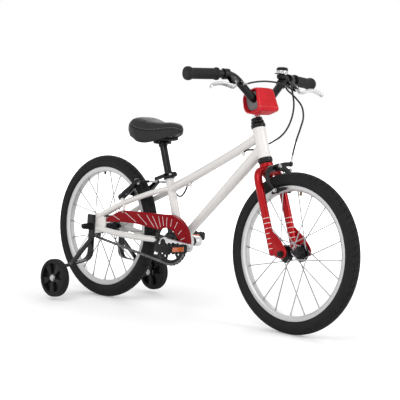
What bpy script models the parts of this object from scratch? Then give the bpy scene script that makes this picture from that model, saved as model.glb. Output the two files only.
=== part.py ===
"""Kids bike with stabilisers: an 18 inch wheel bike, built as its separate pieces.

Frame of reference: x forward, y to the rider's left, z up, in metres. The origin is on the
ground, midway between the two wheel contacts. Steering is straight ahead.
"""

import math

import bmesh
import bpy
import numpy as np
from mathutils import Matrix, Quaternion, Vector

MM = 0.001

# Driving dimensions
WHEELBASE = 763 * MM
TYRE_RADIUS = 219.5 * MM
TYRE_SECTION = 21.0 * MM
WHEEL_STEPS = 30
AXLE_Z = TYRE_RADIUS * math.cos(math.pi / WHEEL_STEPS)
RIM_OUTER = 183 * MM
RIM_WELL = 176 * MM
RIM_INNER = 168 * MM
RIM_HALF = 12.5 * MM
SPOKES = 20
HEAD_ANGLE = math.radians(70)
SEAT_ANGLE = math.radians(70.5)
FORK_RAKE = 32 * MM
HEAD_BOTTOM = 276.6
HEAD_TOP = 362.7
LEG_SPREAD = 46
LEG_RADIUS = 11.1
BB_X = -51.5 * MM
BB_Z = 203.5 * MM
CRANK_LENGTH = 101
CRANK_DROP = math.radians(-2.5)
PITCH = 12.7
RING_TEETH = 32
COG_TEETH = 16
CHAIN_Y = -42
SEAT_TUBE_LENGTH = 206
POST_RADIUS = 11.1
BAR_RADIUS = 11.1
GUARD_RADIUS = 80
BRAKE_ANGLE = math.radians(40.5)
ARM_REACH = 78
BOLT_S = 240
STABILISER_RADIUS = 56.5
STABILISER_Y = 203.3
STABILISER_X = 6.6
STABILISER_Z = 66.0

REAR = Vector((-WHEELBASE / 2, 0, AXLE_Z))
FRONT = Vector((WHEELBASE / 2, 0, AXLE_Z))
BB = Vector((BB_X, 0, BB_Z))
X_AXIS = Vector((1, 0, 0))
Y_AXIS = Vector((0, 1, 0))
Z_AXIS = Vector((0, 0, 1))
HEAD_UP = Vector((-math.cos(HEAD_ANGLE), 0, math.sin(HEAD_ANGLE)))
HEAD_FORE = Vector((math.sin(HEAD_ANGLE), 0, math.cos(HEAD_ANGLE)))
HEAD_FOOT = FRONT - HEAD_FORE * FORK_RAKE
SEAT_UP = Vector((-math.cos(SEAT_ANGLE), 0, math.sin(SEAT_ANGLE)))
SEAT_FORE = Vector((math.sin(SEAT_ANGLE), 0, math.cos(SEAT_ANGLE)))
REACH = Vector((0.769, 0, -0.639)).normalized()
BRAKE_UP = Vector((math.cos(BRAKE_ANGLE), 0, math.sin(BRAKE_ANGLE)))
BRAKE_OUT = Vector((-math.sin(BRAKE_ANGLE), 0, math.cos(BRAKE_ANGLE)))
RING_RADIUS = PITCH / (2 * math.sin(math.pi / RING_TEETH))
COG_RADIUS = PITCH / (2 * math.sin(math.pi / COG_TEETH))
SIDES = ((-1, "right"), (1, "left"))

# Colours as linear values, with roughness and metallic
FINISHES = {
    "pearl": ((0.80, 0.78, 0.75), 0.3, 0.0),
    "candy_red": ((0.42, 0.01, 0.015), 0.22, 0.3),
    "guard_red": ((0.30, 0.01, 0.012), 0.3, 0.1),
    "pad_red": ((0.72, 0.02, 0.02), 0.5, 0.0),
    "rubber": ((0.018, 0.018, 0.019), 0.8, 0.0),
    "black": ((0.02, 0.02, 0.021), 0.4, 0.0),
    "vinyl": ((0.03, 0.03, 0.032), 0.5, 0.0),
    "alloy": ((0.66, 0.66, 0.67), 0.3, 1.0),
    "chrome": ((0.75, 0.75, 0.76), 0.15, 1.0),
    "steel": ((0.20, 0.20, 0.21), 0.4, 1.0),
}


def rear(x, y, z):
    """A point given in millimetres from the rear axle along x, from the ground along z."""
    return Vector((x * MM - WHEELBASE / 2, y * MM, z * MM))


def head(n, y, s):
    """A point in the steering frame: n ahead of the axis, y left, s up it, in millimetres."""
    return HEAD_FOOT + HEAD_FORE * (n * MM) + Y_AXIS * (y * MM) + HEAD_UP * (s * MM)


def seat(length, x=0, y=0):
    """A point up the seat tube's axis, x ahead of it and y to the left, in millimetres."""
    return BB + SEAT_UP * (length * MM) + SEAT_FORE * (x * MM) + Y_AXIS * (y * MM)


def clear_scene():
    for item in list(bpy.data.objects):
        bpy.data.objects.remove(item, do_unlink=True)


def new_collection(name):
    group = bpy.data.collections.new(name)
    bpy.context.scene.collection.children.link(group)
    return group


def finish(name):
    """The Principled material of one finish, made once."""
    if name in bpy.data.materials:
        return bpy.data.materials[name]
    colour, rough, metal = FINISHES[name]
    material = bpy.data.materials.new(name)
    material.use_nodes = True
    shader = material.node_tree.nodes["Principled BSDF"]
    shader.inputs["Base Color"].default_value = (*colour, 1)
    shader.inputs["Roughness"].default_value = rough
    shader.inputs["Metallic"].default_value = metal
    material.diffuse_color = (*colour, 1)
    return material


def as_cutter(item):
    """Keep a helper shape out of the model, as a wire cutter or guide."""
    CUTTERS.objects.link(item)
    item.hide_render = True
    item.display_type = "WIRE"
    return item


def as_part(item, name, look, parent=None):
    """Name a finished piece, give it its finish and hang it on its parent."""
    for holder in list(item.users_collection):
        holder.objects.unlink(item)
    BIKE.objects.link(item)
    item.hide_render = False
    item.display_type = "TEXTURED"
    item.name = name
    item.data.name = name
    item.data.materials.clear()
    item.data.materials.append(finish(look))
    item.data.shade_smooth()
    item.data.set_sharp_from_angle(angle=math.radians(35))
    if parent:
        item.parent = parent
        item.matrix_parent_inverse = Matrix.Translation(-parent.location)
    return item


def axis_point(name, place):
    """An empty on a joint's axis."""
    empty = bpy.data.objects.new(name, None)
    empty.location = place
    empty.empty_display_size = 0.03
    BIKE.objects.link(empty)
    return empty


def mesh_object(bm):
    """A helper object from a bmesh, already in the cutters' collection."""
    mesh = bpy.data.meshes.new("shape")
    bm.to_mesh(mesh)
    bm.free()
    return as_cutter(bpy.data.objects.new("shape", mesh))


def along(direction):
    """The rotation that turns local z to a direction, with local x as near to x as it can be."""
    z = direction.normalized()
    guide = X_AXIS if abs(z.x) < 0.9 else Z_AXIS
    x = (guide - z * guide.dot(z)).normalized()
    return frame_of(x, z.cross(x), z)


def frame_of(x, y, z):
    """The rotation whose local axes lie along three given directions."""
    return Matrix((x, y, z)).transposed().to_4x4()


def side_view():
    """The rotation that stands a flat outline up as x forward and z up."""
    return frame_of(X_AXIS, Z_AXIS, -Y_AXIS)


def end_view():
    """The rotation that stands a flat outline up as y to the left and z up."""
    return frame_of(Y_AXIS, Z_AXIS, X_AXIS)


def turned(profile, place, direction, steps=16, closed=False):
    """A solid of revolution: (radius, height) in millimetres, down the outer side."""
    mesh = bpy.data.meshes.new("turned")
    points = [(r * MM, 0, h * MM) for r, h in profile]
    edges = [(i, i + 1) for i in range(len(points) - 1)]
    if closed:
        edges.append((len(points) - 1, 0))
    mesh.from_pydata(points, edges, [])
    item = as_cutter(bpy.data.objects.new("turned", mesh))
    item.matrix_world = Matrix.Translation(place) @ along(direction)
    screw = item.modifiers.new("turn", "SCREW")
    screw.steps = steps
    screw.render_steps = steps
    screw.use_merge_vertices = True
    screw.merge_threshold = 0.00001
    screw.use_smooth_shade = True
    return item


def rod(start, end, radius, steps=12):
    """A round bar between two points, its radius in millimetres."""
    bm = bmesh.new()
    bmesh.ops.create_cone(
        bm,
        cap_ends=True,
        segments=steps,
        radius1=radius * MM,
        radius2=radius * MM,
        depth=(end - start).length,
    )
    item = mesh_object(bm)
    item.matrix_world = Matrix.Translation((start + end) / 2) @ along(end - start)
    return item


def block(size, place, turn=None):
    """A box of a size in millimetres, turned and placed."""
    bm = bmesh.new()
    bmesh.ops.create_cube(bm, size=1)
    bmesh.ops.scale(bm, vec=Vector(size) * MM, verts=bm.verts)
    item = mesh_object(bm)
    item.matrix_world = Matrix.Translation(place) @ (turn if turn else Matrix())
    return item


def arc(cx, cy, radius, start, stop, steps):
    """Points along a circle's arc, angles in degrees."""
    angles = np.radians(np.linspace(start, stop, steps))
    return [(cx + radius * math.cos(a), cy + radius * math.sin(a)) for a in angles]


def circle(cx, cy, radius, steps):
    """The points of a whole circle."""
    return arc(cx, cy, radius, 0, 360, steps + 1)[:-1]


def strip(path, half):
    """The outline of a flat strip along a 2D path, half its thickness to each side."""
    spots = np.array(path, float)
    run = np.gradient(spots, axis=0)
    run /= np.linalg.norm(run, axis=1)[:, None]
    side = np.column_stack((-run[:, 1], run[:, 0])) * half
    return [*map(tuple, spots + side), *map(tuple, (spots - side)[::-1])]


def belt(first, first_radius, second, second_radius, steps):
    """The outline drawn tight round two circles, the first the larger."""
    dx, dy = first[0] - second[0], first[1] - second[1]
    lie = math.degrees(math.atan2(dy, dx))
    lean = math.degrees(math.asin((first_radius - second_radius) / math.hypot(dx, dy)))
    wide = arc(*first, first_radius, lie - 90 - lean, lie + 90 + lean, steps)
    return wide + arc(*second, second_radius, lie + 90 + lean, lie + 270 - lean, steps // 2 + 2)


def round_box(low, high, radii, steps=4):
    """A rectangle with arcs at its corners, from low-low round by high-low."""
    (x0, y0), (x1, y1) = low, high
    a, b, c, d = radii
    outline = arc(x0 + a, y0 + a, a, 180, 270, steps) + arc(x1 - b, y0 + b, b, 270, 360, steps)
    return outline + arc(x1 - c, y1 - c, c, 0, 90, steps) + arc(x0 + d, y1 - d, d, 90, 180, steps)


def slab(outlines, thickness, place, turn):
    """A flat plate: closed outlines in millimetres, the first outside and the rest holes."""
    curve = bpy.data.curves.new("slab", "CURVE")
    curve.dimensions = "2D"
    curve.fill_mode = "BOTH"
    curve.extrude = thickness * MM / 2
    for outline in outlines:
        spline = curve.splines.new("POLY")
        spline.points.add(len(outline) - 1)
        for point, (x, y) in zip(spline.points, outline):
            point.co = (x * MM, y * MM, 0, 1)
        spline.use_cyclic_u = True
    item = as_cutter(bpy.data.objects.new("slab", curve))
    item.matrix_world = Matrix.Translation(place) @ turn
    return solid(item)


def tube(points, radius, sides=12, scales=None):
    """A round tube through points, its radius in millimetres, with filled caps."""
    curve = bpy.data.curves.new("tube", "CURVE")
    curve.dimensions = "3D"
    curve.bevel_depth = radius * MM
    curve.bevel_resolution = sides // 2 - 2
    curve.use_fill_caps = True
    spline = curve.splines.new("POLY")
    spline.points.add(len(points) - 1)
    for i, place in enumerate(points):
        spline.points[i].co = (*place, 1)
        spline.points[i].radius = scales[i] if scales else 1
    return solid(as_cutter(bpy.data.objects.new("tube", curve)))


def solid(item):
    """A mesh made from a curve, with its caps welded on."""
    bpy.context.view_layer.update()
    shape = item.evaluated_get(bpy.context.evaluated_depsgraph_get())
    mesh = bpy.data.meshes.new_from_object(shape)
    bm = bmesh.new()
    bm.from_mesh(mesh)
    bmesh.ops.remove_doubles(bm, verts=bm.verts, dist=0.000001)
    bmesh.ops.recalc_face_normals(bm, faces=bm.faces)
    bm.to_mesh(mesh)
    bm.free()
    made = as_cutter(bpy.data.objects.new("solid", mesh))
    made.matrix_world = item.matrix_world
    bpy.data.objects.remove(item, do_unlink=True)
    return made


def join(item, *others):
    """Weld other shapes to a piece."""
    for other in others:
        weld = item.modifiers.new("weld", "BOOLEAN")
        weld.operation = "UNION"
        weld.object = other
    return item


def cut(item, *cutters):
    """Cut shapes out of a piece."""
    for cutter in cutters:
        bore = item.modifiers.new("cut", "BOOLEAN")
        bore.operation = "DIFFERENCE"
        bore.object = cutter
    return item


def rounded(points, radii, steps=5):
    """A path with its inner corners turned to arcs; radii in millimetres."""
    path = [points[0]]
    for i in range(1, len(points) - 1):
        back = (points[i - 1] - points[i]).normalized()
        ahead = (points[i + 1] - points[i]).normalized()
        half = back.angle(ahead) / 2
        reach = radii[i - 1] * MM / math.tan(half)
        first = points[i] + back * reach
        last = points[i] + ahead * reach
        centre = points[i] + (back + ahead).normalized() * (radii[i - 1] * MM / math.sin(half))
        swing = (first - centre).angle(last - centre)
        hub = (first - centre).cross(last - centre).normalized()
        for k in range(steps + 1):
            path.append(centre + Quaternion(hub, swing * k / steps) @ (first - centre))
    path.append(points[-1])
    return path


def smooth(points, steps):
    """A Catmull-Rom path through points, read at an even number of steps a span."""
    path = []
    ends = [points[0] * 2 - points[1], *points, points[-1] * 2 - points[-2]]
    for i in range(1, len(ends) - 2):
        a, b, c, d = ends[i - 1 : i + 3]
        for k in range(steps):
            t = k / steps
            bend = (a * 2 - b * 5 + c * 4 - d) * t**2 + (b * 3 - a - c * 3 + d) * t**3
            path.append((b * 2 + (c - a) * t + bend) * 0.5)
    path.append(points[-1])
    return path


def mirrored(points):
    """The same points on the rider's other side."""
    return [Vector((p.x, -p.y, p.z)) for p in points]


def sprocket(teeth, radius, bore, windows=()):
    """The outlines of a toothed disc, its radius at the tips of the teeth."""
    outline = []
    step = 360 / teeth
    for i in range(teeth):
        for turn, reach in ((0.25, radius), (0.75, radius - 4)):
            angle = math.radians((i + turn) * step)
            outline.append((reach * math.cos(angle), reach * math.sin(angle)))
    return [outline, circle(0, 0, bore, 12), *windows]


def wheel(prefix, centre, half_hub, empty):
    """Tyre, rim and the laced hub of one wheel."""
    section = TYRE_SECTION / MM
    angles = (112, 64, 16, -16, -64, -112)
    middle = TYRE_RADIUS / MM - section * math.cos(math.radians(angles[2]))
    bulge = [
        (middle + section * math.cos(math.radians(a)), section * math.sin(math.radians(a)))
        for a in angles
    ]
    well = RIM_WELL / MM
    bead = 9.2
    profile = [(well + 0.4, bead), (well + 8, bead), *bulge, (well + 8, -bead), (well + 0.4, -bead)]
    tyre = turned(profile, centre, Y_AXIS, WHEEL_STEPS, closed=True)
    as_part(tyre, prefix + "_tyre", "rubber", empty)

    outer, inner, half = RIM_OUTER / MM, RIM_INNER / MM, RIM_HALF / MM
    profile = [(inner, 7.5), (well, half), (outer, half), (outer, half - 2.2), (well, bead + 0.8)]
    profile += [(r, -h) for r, h in reversed(profile)]
    rim = turned(profile, centre, Y_AXIS, WHEEL_STEPS, closed=True)
    as_part(rim, prefix + "_rim", "alloy", empty)

    shell = [(5.2, half_hub), (8, half_hub), (8, 36), (24, 34), (24, 30), (10, 22)]
    shell += [(r, -h) for r, h in reversed(shell)]
    hub = turned(shell, centre, Y_AXIS, 12, closed=True)
    lacing = bmesh.new()
    for i in range(SPOKES):
        side = 1 if i % 2 else -1
        lead = 1 if (i // 2) % 2 else -1
        rim_angle = 2 * math.pi * i / SPOKES
        hub_angle = rim_angle + lead * math.radians(48)
        offset = (32 + 2.4 * lead) * side
        start = Vector((20 * math.cos(hub_angle), offset, 20 * math.sin(hub_angle))) * MM
        reach = inner * math.cos(math.pi / WHEEL_STEPS) - 0.8
        end = Vector((reach * math.cos(rim_angle), 0, reach * math.sin(rim_angle))) * MM
        bmesh.ops.create_cone(
            lacing,
            cap_ends=True,
            segments=4,
            radius1=1.2 * MM,
            radius2=1.2 * MM,
            depth=(end - start).length,
            matrix=Matrix.Translation((start + end) / 2) @ along(end - start),
        )
    spokes = mesh_object(lacing)
    spokes.location = centre
    as_part(join(hub, spokes), prefix + "_hub_and_spokes", "black", empty)


def build_wheels():
    """Both wheels, their axles and the freewheel cog."""
    front_empty = axis_point("front_wheel_axis", FRONT)
    rear_empty = axis_point("rear_wheel_axis", REAR)
    wheel("front", FRONT, 40, front_empty)
    wheel("rear", REAR, 36.5, rear_empty)

    axle = [(0, 65), (6, 64.5), (8.5, 62.5), (8.5, 54.4), (4.7, 54.4), (4.7, 49.6)]
    axle += [(7.5, 49.6), (7.5, 40.4), (4.7, 40.4)]
    axle += [(r, -h) for r, h in reversed(axle)]
    as_part(turned(axle, FRONT, Y_AXIS, 8), "front_axle", "steel")

    axle = [(0, 101), (7.4, 101), (8.6, 98), (9.8, 76), (11, 65), (4.7, 65), (4.7, 55), (7.5, 55)]
    axle += [(7.5, 51.5), (4.7, 51.5)]
    axle += [(r, -h) for r, h in reversed(axle)]
    as_part(turned(axle, REAR, Y_AXIS, 8), "rear_axle", "black")

    place = REAR + Y_AXIS * (CHAIN_Y * MM)
    cog = slab(sprocket(COG_TEETH, COG_RADIUS - 0.6, 12), 3, place, side_view())
    body = turned([(21.5, 5), (21.5, -5), (5.3, -5), (5.3, 5)], place, -Y_AXIS, 12, closed=True)
    as_part(join(body, cog), "freewheel_cog", "steel", axis_point("freewheel_axis", REAR))


def build_frame():
    """The main tubes, the stays with their dropouts and brake bosses, and the cups."""
    top, low = HEAD_TOP, HEAD_BOTTOM
    shell = [(18.3, top), (18.3, top - 8), (17.5, top - 10), (17.5, low + 10), (18.3, low + 8)]
    shell += [(18.3, low), (14.3, low), (14.3, top)]
    as_part(turned(shell, HEAD_FOOT, HEAD_UP, 16, closed=True), "head_tube", "pearl")
    head_room = rod(head(0, 0, 230), head(0, 0, 400), 19, 16)
    seat_room = rod(seat(10), seat(240), 13.2, 20)
    shell_room = rod(BB - Y_AXIS * 0.05, BB + Y_AXIS * 0.05, 20.6, 20)

    run = (TOP_TUBE_HEAD - TOP_TUBE_SEAT).normalized()
    rise = Y_AXIS.cross(run) * -1
    path = []
    for i in range(6):
        t = i / 5
        path.append(TOP_TUBE_SEAT.lerp(TOP_TUBE_HEAD, t) + rise * (16 * MM * t * (1 - t)))
    top_tube = tube(path, 12.7, 12)
    for stop in CABLE_STOPS:
        join(top_tube, rod(stop - run * 0.006, stop + run * 0.006, 4.2, 6))
        join(top_tube, block((9, 3, 8), stop + rise * 0.004, frame_of(run, Y_AXIS, rise)))
    wire_room = rod(CABLE_STOPS[0] - run * 0.01, CABLE_STOPS[1] + run * 0.01, 1.8, 6)
    as_part(cut(top_tube, head_room, seat_room, wire_room), "top_tube", "pearl")

    start, end = rear(330, 0, 207), rear(628, 0, 493)
    path = [start.lerp(end, i / 3) for i in range(4)]
    scales = [0.7, 0.8, 0.9, 1]
    down_tube = tube(path, 17.2, 16, scales)
    as_part(cut(down_tube, head_room, shell_room, seat_room), "down_tube", "pearl")

    wall = [(12.7, SEAT_TUBE_LENGTH), (12.7, 0), (11.5, 0), (11.5, SEAT_TUBE_LENGTH)]
    seat_tube = turned(wall, BB, SEAT_UP, 20, closed=True)
    as_part(cut(seat_tube, shell_room), "seat_tube", "pearl")
    wall = [(20, 34), (20, -34), (17.4, -34), (17.4, 34)]
    shell = turned(wall, BB, Y_AXIS, 16, closed=True)
    as_part(shell, "bottom_bracket_shell", "pearl")
    wall = [(19.6, 37.5), (19.6, 34.3), (16.9, 34.3), (16.9, -34.3), (19.6, -34.3), (19.6, -37.5)]
    wall += [(8.9, -37.5), (8.9, 37.5)]
    bearing = turned(wall, BB, Y_AXIS, 16, closed=True)
    as_part(bearing, "bottom_bracket_bearings", "steel")

    dropout = [(-14, 203), (-16, 225), (-6, 240), (12, 260), (30, 262), (58, 248), (59, 222)]
    dropout += [(45, 203), (10, 198)]
    hole = circle(0, AXLE_Z / MM, 5, 12)
    for side, word in SIDES:
        points = [(20, 57, 214), (45, 56, 212), (90, 52, 207), (170, 40, 203), (240, 31, 203)]
        points += [(272, 27, 203), (318, 25, 203.4)]
        path = [rear(x, side * y, z) for x, y, z in points]
        place = rear(0, side * 57.6, 0)
        plate = slab([dropout, hole], 5, place, side_view())
        stay = join(tube(path, 9, 8), plate)
        as_part(cut(stay, shell_room), "chain_stay_" + word, "pearl")

        points = [(22, 58, 250), (120, 48, 298), (200, 37, 329)]
        points += [(240, 28, 343), (262, 14, 351), (277, 0, 355)]
        path = [rear(x, side * y, z) for x, y, z in points]
        wide = [(20 + (x - 20) * 1.03, 230 + (z - 230) * 1.03) for x, z in dropout]
        slot = slab([wide], 5.8, place, side_view())
        foot = BRAKE_FOOT + Y_AXIS * (side * 48 * MM)
        boss = rod(foot - BRAKE_OUT * 0.018, foot - BRAKE_OUT * 0.006, 6.2, 10)
        pin = rod(foot - BRAKE_OUT * 0.010, foot + BRAKE_OUT * 0.0085, 4, 8)
        bolt = rod(foot + BRAKE_OUT * 0.0063, foot + BRAKE_OUT * 0.0095, 6.5, 6)
        stay = join(tube(path, 8, 8), boss, pin, bolt)
        as_part(cut(stay, slot, seat_room), "seat_stay_" + word, "pearl")

    cup = [(17.5, 376), (20, 372), (20, 363), (14, 363), (14, 351), (13.1, 351), (13.1, 376)]
    as_part(turned(cup, HEAD_FOOT, HEAD_UP, 16, closed=True), "upper_headset_cup", "steel")
    cup = [(14, 288), (14, 276.3), (20, 276.3), (20.5, 266), (18.5, 261), (13.1, 261), (13.1, 288)]
    as_part(turned(cup, HEAD_FOOT, HEAD_UP, 16, closed=True), "lower_headset_cup", "steel")


def build_fork():
    """The one-piece fork with its steerer, the brake's bolt and dropouts, and the headset nut."""
    steering = axis_point("steering_axis", HEAD_FOOT)
    stem = [(0, 296), (11.4, 296), (11.4, 388), (12.7, 388), (12.7, 260.7), (19, 260.7)]
    stem += [(19, 250), (17, 249), (17, 222), (0, 222)]
    fork = turned(stem, HEAD_FOOT, HEAD_UP, 16)
    claw = [(-8, 14), (2, 6), (15, -4), (28, -12.5), (42, -11), (49, -3.5), (50, 7), (44.5, 22)]
    claw += [(37.8, 37.4), (30.3, 50.3), (16, 70), (0, 78), (-8, 75)]
    hole = circle(FORK_RAKE / MM, 0, 5, 10)
    for side, word in SIDES:
        y = side * LEG_SPREAD
        leg = rounded([head(0, y, 6), head(0, y, 239), head(0, side * 5, 239)], [35], 4)
        plate = slab([claw, hole], 4, head(0, side * 52, 0), frame_of(HEAD_FORE, HEAD_UP, -Y_AXIS))
        join(fork, tube(leg, LEG_RADIUS, 10), plate)
    for start, end, radius in ((12, 26.8, 8), (20, 51, 3), (44.3, 49, 6.5)):
        join(fork, rod(head(start, 0, BOLT_S), head(end, 0, BOLT_S), radius, 8))
    as_part(fork, "fork", "candy_red", steering)

    nut = [(15, 391), (18, 388), (18, 376.4), (13, 376.4), (13, 391)]
    nut = turned(nut, HEAD_FOOT, HEAD_UP, 16, closed=True)
    as_part(nut, "headset_top_nut", "steel", steering)
    return steering


def bar_point(side, reach, down=0):
    """A point beside the bar's outer run: reach from its corner, down the lever's direction."""
    corner, tip = BAR_PATH[4], BAR_PATH[5]
    place = corner + (tip - corner).normalized() * (reach * MM) + REACH * (down * MM)
    return Vector((place.x, side * place.y, place.z))


def build_bars(steering):
    """Stem, handlebar, grips, padded cover, brake levers and bell."""
    bar = rounded(BAR_PATH, [30, 22, 22, 30], 3)
    as_part(tube(bar, BAR_RADIUS, 10), "handlebar", "black", steering)
    bar_room = tube(bar, BAR_RADIUS + 0.35, 10)

    clamp = head(30, 0, 430)
    stem = rod(head(0, 0, 300), head(0, 0, 420), POST_RADIUS, 16)
    join(stem, rod(head(0, 0, 414), head(0, 0, 443), 14, 16))
    join(stem, rod(head(0, 0, 442), head(0, 0, 446.5), 8, 6))
    join(stem, rod(head(2, 0, 430), clamp, 12, 12))
    join(stem, rod(clamp - Y_AXIS * 0.02, clamp + Y_AXIS * 0.02, 14.6, 14))
    as_part(cut(stem, bar_room), "stem", "alloy", steering)

    outside = round_box((-6, 398), (52, 465), (12, 10, 10, 26))
    inside = round_box((1, 405), (45, 458), (5, 4, 4, 19))
    turn = frame_of(HEAD_FORE, HEAD_UP, -Y_AXIS)
    pad = slab([outside, inside], 80, HEAD_FOOT, turn)
    quill_room = rod(head(0, 0, 385), head(0, 0, 447.5), 14.8, 16)
    as_part(cut(pad, quill_room), "handlebar_pad", "pad_red", steering)

    grip = [(0, 103), (16.5, 103), (18.5, 98), (18.5, 90), (14.7, 84), (14.7, 7)]
    grip += [(17, 7), (17, 0), (11.7, 0), (11.7, 100.6), (0, 100.6)]
    for side, word in SIDES:
        start = bar_point(side, 49)
        run = (start - bar_point(side, 0)).normalized()
        as_part(turned(grip, start, run, 14), "grip_" + word, "rubber", steering)
        build_lever(side, word, bar_room, steering)
    build_bell(bar_room, steering)


def build_lever(side, word, bar_room, steering):
    """A clamp-on bracket with its pivot pin, and the lever blade that turns on the pin."""
    turn = frame_of(Y_AXIS * side, REACH, Y_AXIS.cross(REACH) * side)
    normal = Y_AXIS.cross(REACH)
    ring = rod(bar_point(side, 12), bar_point(side, 32), 16, 12)
    bracket = block((25, 32, 13), bar_point(side, 10, 28), turn)
    join(bracket, ring, rod(lever_exit(side, 108), lever_exit(side, 89.5), 4, 8))
    pivot = bar_point(side, 17.7, 40)
    slot = rod(pivot - normal * 0.003, pivot + normal * 0.003, 14, 14)
    pin = rod(pivot - normal * 0.006, pivot + normal * 0.006, 2.4, 8)
    bracket = join(cut(bracket, slot, bar_room), pin)
    as_part(bracket, "lever_bracket_" + word, "black", steering)

    points = [(637, 137, 655), (639, 150, 656), (637, 168, 660), (635.5, 188, 661.5)]
    points += [(635, 206, 659), (636, 221, 655), (640, 230, 649)]
    path = [rear(x, side * y, z) for x, y, z in points]
    blade = tube(path, 5.4, 8, [1, 1, 1, 1, 1, 1.08, 1])
    tongue = arc(0, 0, 6.5, 125, 325, 8) + arc(14, 9, 5, -50, 130, 7)
    plate = slab([tongue, circle(0, 0, 2.8, 10)], 5, pivot, turn)
    pivot_empty = axis_point("brake_lever_axis_" + word, pivot)
    pivot_empty.parent = steering
    pivot_empty.matrix_parent_inverse = Matrix.Translation(-steering.location)
    as_part(join(plate, blade), "brake_lever_" + word, "alloy")


def build_bell(bar_room, steering):
    """The bell's clamp base, its thumb lever and its dome, on the bar's left slope."""
    place = Vector((BELL.x, BELL.y, 0))
    slope = (BAR_PATH[4] - BAR_PATH[3]).normalized()
    base = turned([(0, 701), (14, 701), (14, 688), (0, 688)], place, Z_AXIS, 16)
    band = rod(BELL - slope * 0.006, BELL + slope * 0.006, 14, 16)
    as_part(cut(join(base, band), bar_room), "bell_base", "black", steering)
    dome = [(0, 722), (9, 721), (14, 717.5), (16.5, 711), (16.5, 704), (14.5, 704), (14.5, 711)]
    dome += [(8, 718.5), (3, 719), (3, 701.3), (0, 701.3)]
    as_part(turned(dome, place, Z_AXIS, 14), "bell_dome", "chrome", steering)
    tab = circle(0, 0, 8, 16)[:10] + [(-4, -29), (4, -29)] + circle(0, 0, 8, 16)[14:]
    lever = slab([tab, circle(0, 0, 3.5, 12)], 2.4, place + Z_AXIS * 0.7025, Matrix())
    as_part(lever, "bell_thumb_lever", "black", steering)


def brake_block(side, place, out):
    """The rubber block of one side, its length running outwards from the arm."""
    turn = frame_of(Y_AXIS, out.cross(Y_AXIS), out)
    return block((10.4, 9, 50), place + Y_AXIS * (side * 18.8 * MM), turn)


def build_rear_brake():
    """Two arms on the stays' bosses with their blocks; the left one has the cable's guide."""
    turn = frame_of(Y_AXIS, BRAKE_UP, Y_AXIS.cross(BRAKE_UP))
    for side, word in SIDES:

        def spot(y, u, n):
            return BRAKE_FOOT + Y_AXIS * (side * y * MM) + BRAKE_UP * (u * MM) + BRAKE_OUT * (n * MM)

        outline = arc(48, 0, 9.5, 180, 360, 6) + [(54, 26), (48.5, 55)]
        outline += arc(41, ARM_REACH, 7, 0, 180, 4) + [(32.5, 55), (36.5, 26)]
        hole = [(side * y, u) for y, u in circle(48, 0, 4.5, 8)]
        outline = [(side * y, u) for y, u in outline]
        arm = slab([outline, hole], 11.4, BRAKE_FOOT, turn)
        join(arm, rod(spot(22, 26, 0), spot(53, 26, 0), 3.3, 8))
        join(arm, brake_block(side, spot(0, 26, 0), BRAKE_OUT))
        height = ARM_REACH + 2
        if side < 0:
            join(arm, rod(spot(42, height, -11), spot(42, height, 11), 4.5, 8))
        else:
            bend = [(5, 0, 0), (35, 0, 0), (44, 2, -2), (50, 9, -8), (52, 18, -15)]
            bend = [spot(y, height + u, n) for y, u, n in bend]
            join(arm, tube(smooth(bend, 2), 3.2, 8), rod(bend[0], spot(-28, height, 0), 3.8, 8))
        as_part(arm, "rear_brake_arm_" + word, "black")


def build_front_brake(steering):
    """Two crossed arms on one bolt, each round the tyre to its block and over to the cable."""
    sweep = [(0, BOLT_S), (24, 237), (41, 224), (45, 206), (40, 190), (31, 177)]
    ends = {"right": [(52, 231), (28, 236), (0, 239)], "left": [(54, 248), (26, 247), (0, 241)]}
    depths = {"right": 31.2, "left": 39.8}
    turn = frame_of(Y_AXIS, HEAD_UP, Y_AXIS.cross(HEAD_UP))
    for side, word in SIDES:
        n = depths[word]
        path = smooth([Vector((side * y, s)) for y, s in sweep], 2)
        arm = slab([strip(path, 6)], 7.4, head(n, 0, 0), turn)
        join(arm, slab([strip(ends[word], 5.5)], 6.6, head(n, 0, 0), turn))
        join(arm, rod(head(n - 4, 0, BOLT_S), head(n + 4, 0, BOLT_S), 9.5, 12))
        join(arm, rod(head(n, side * 22, 176), head(n, side * 39, 176), 3.3, 8))
        join(arm, brake_block(side, head(35, 0, 176), HEAD_FORE))
        if side < 0:
            join(arm, rod(head(n, 50, 231), head(42, 50, 231), 4.2, 8))
        else:
            join(arm, rod(head(39.8, 52.6, 242), head(43.3, 54.4, 252.6), 5.4, 10))
            join(arm, rod(head(41.3, 53.3, 247.5), head(46.2, 56.1, 260.5), 3.2, 8))
        cut(arm, rod(head(20, 0, BOLT_S), head(60, 0, BOLT_S), 3.4, 10))
        as_part(arm, "front_brake_arm_" + word, "black", steering)


def lever_exit(side, y=88.7):
    """Where a housing leaves its lever's barrel, or a point straight on from there."""
    barrel = bar_point(side, -3, 38)
    return Vector((barrel.x, side * y * MM, barrel.z))


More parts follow.
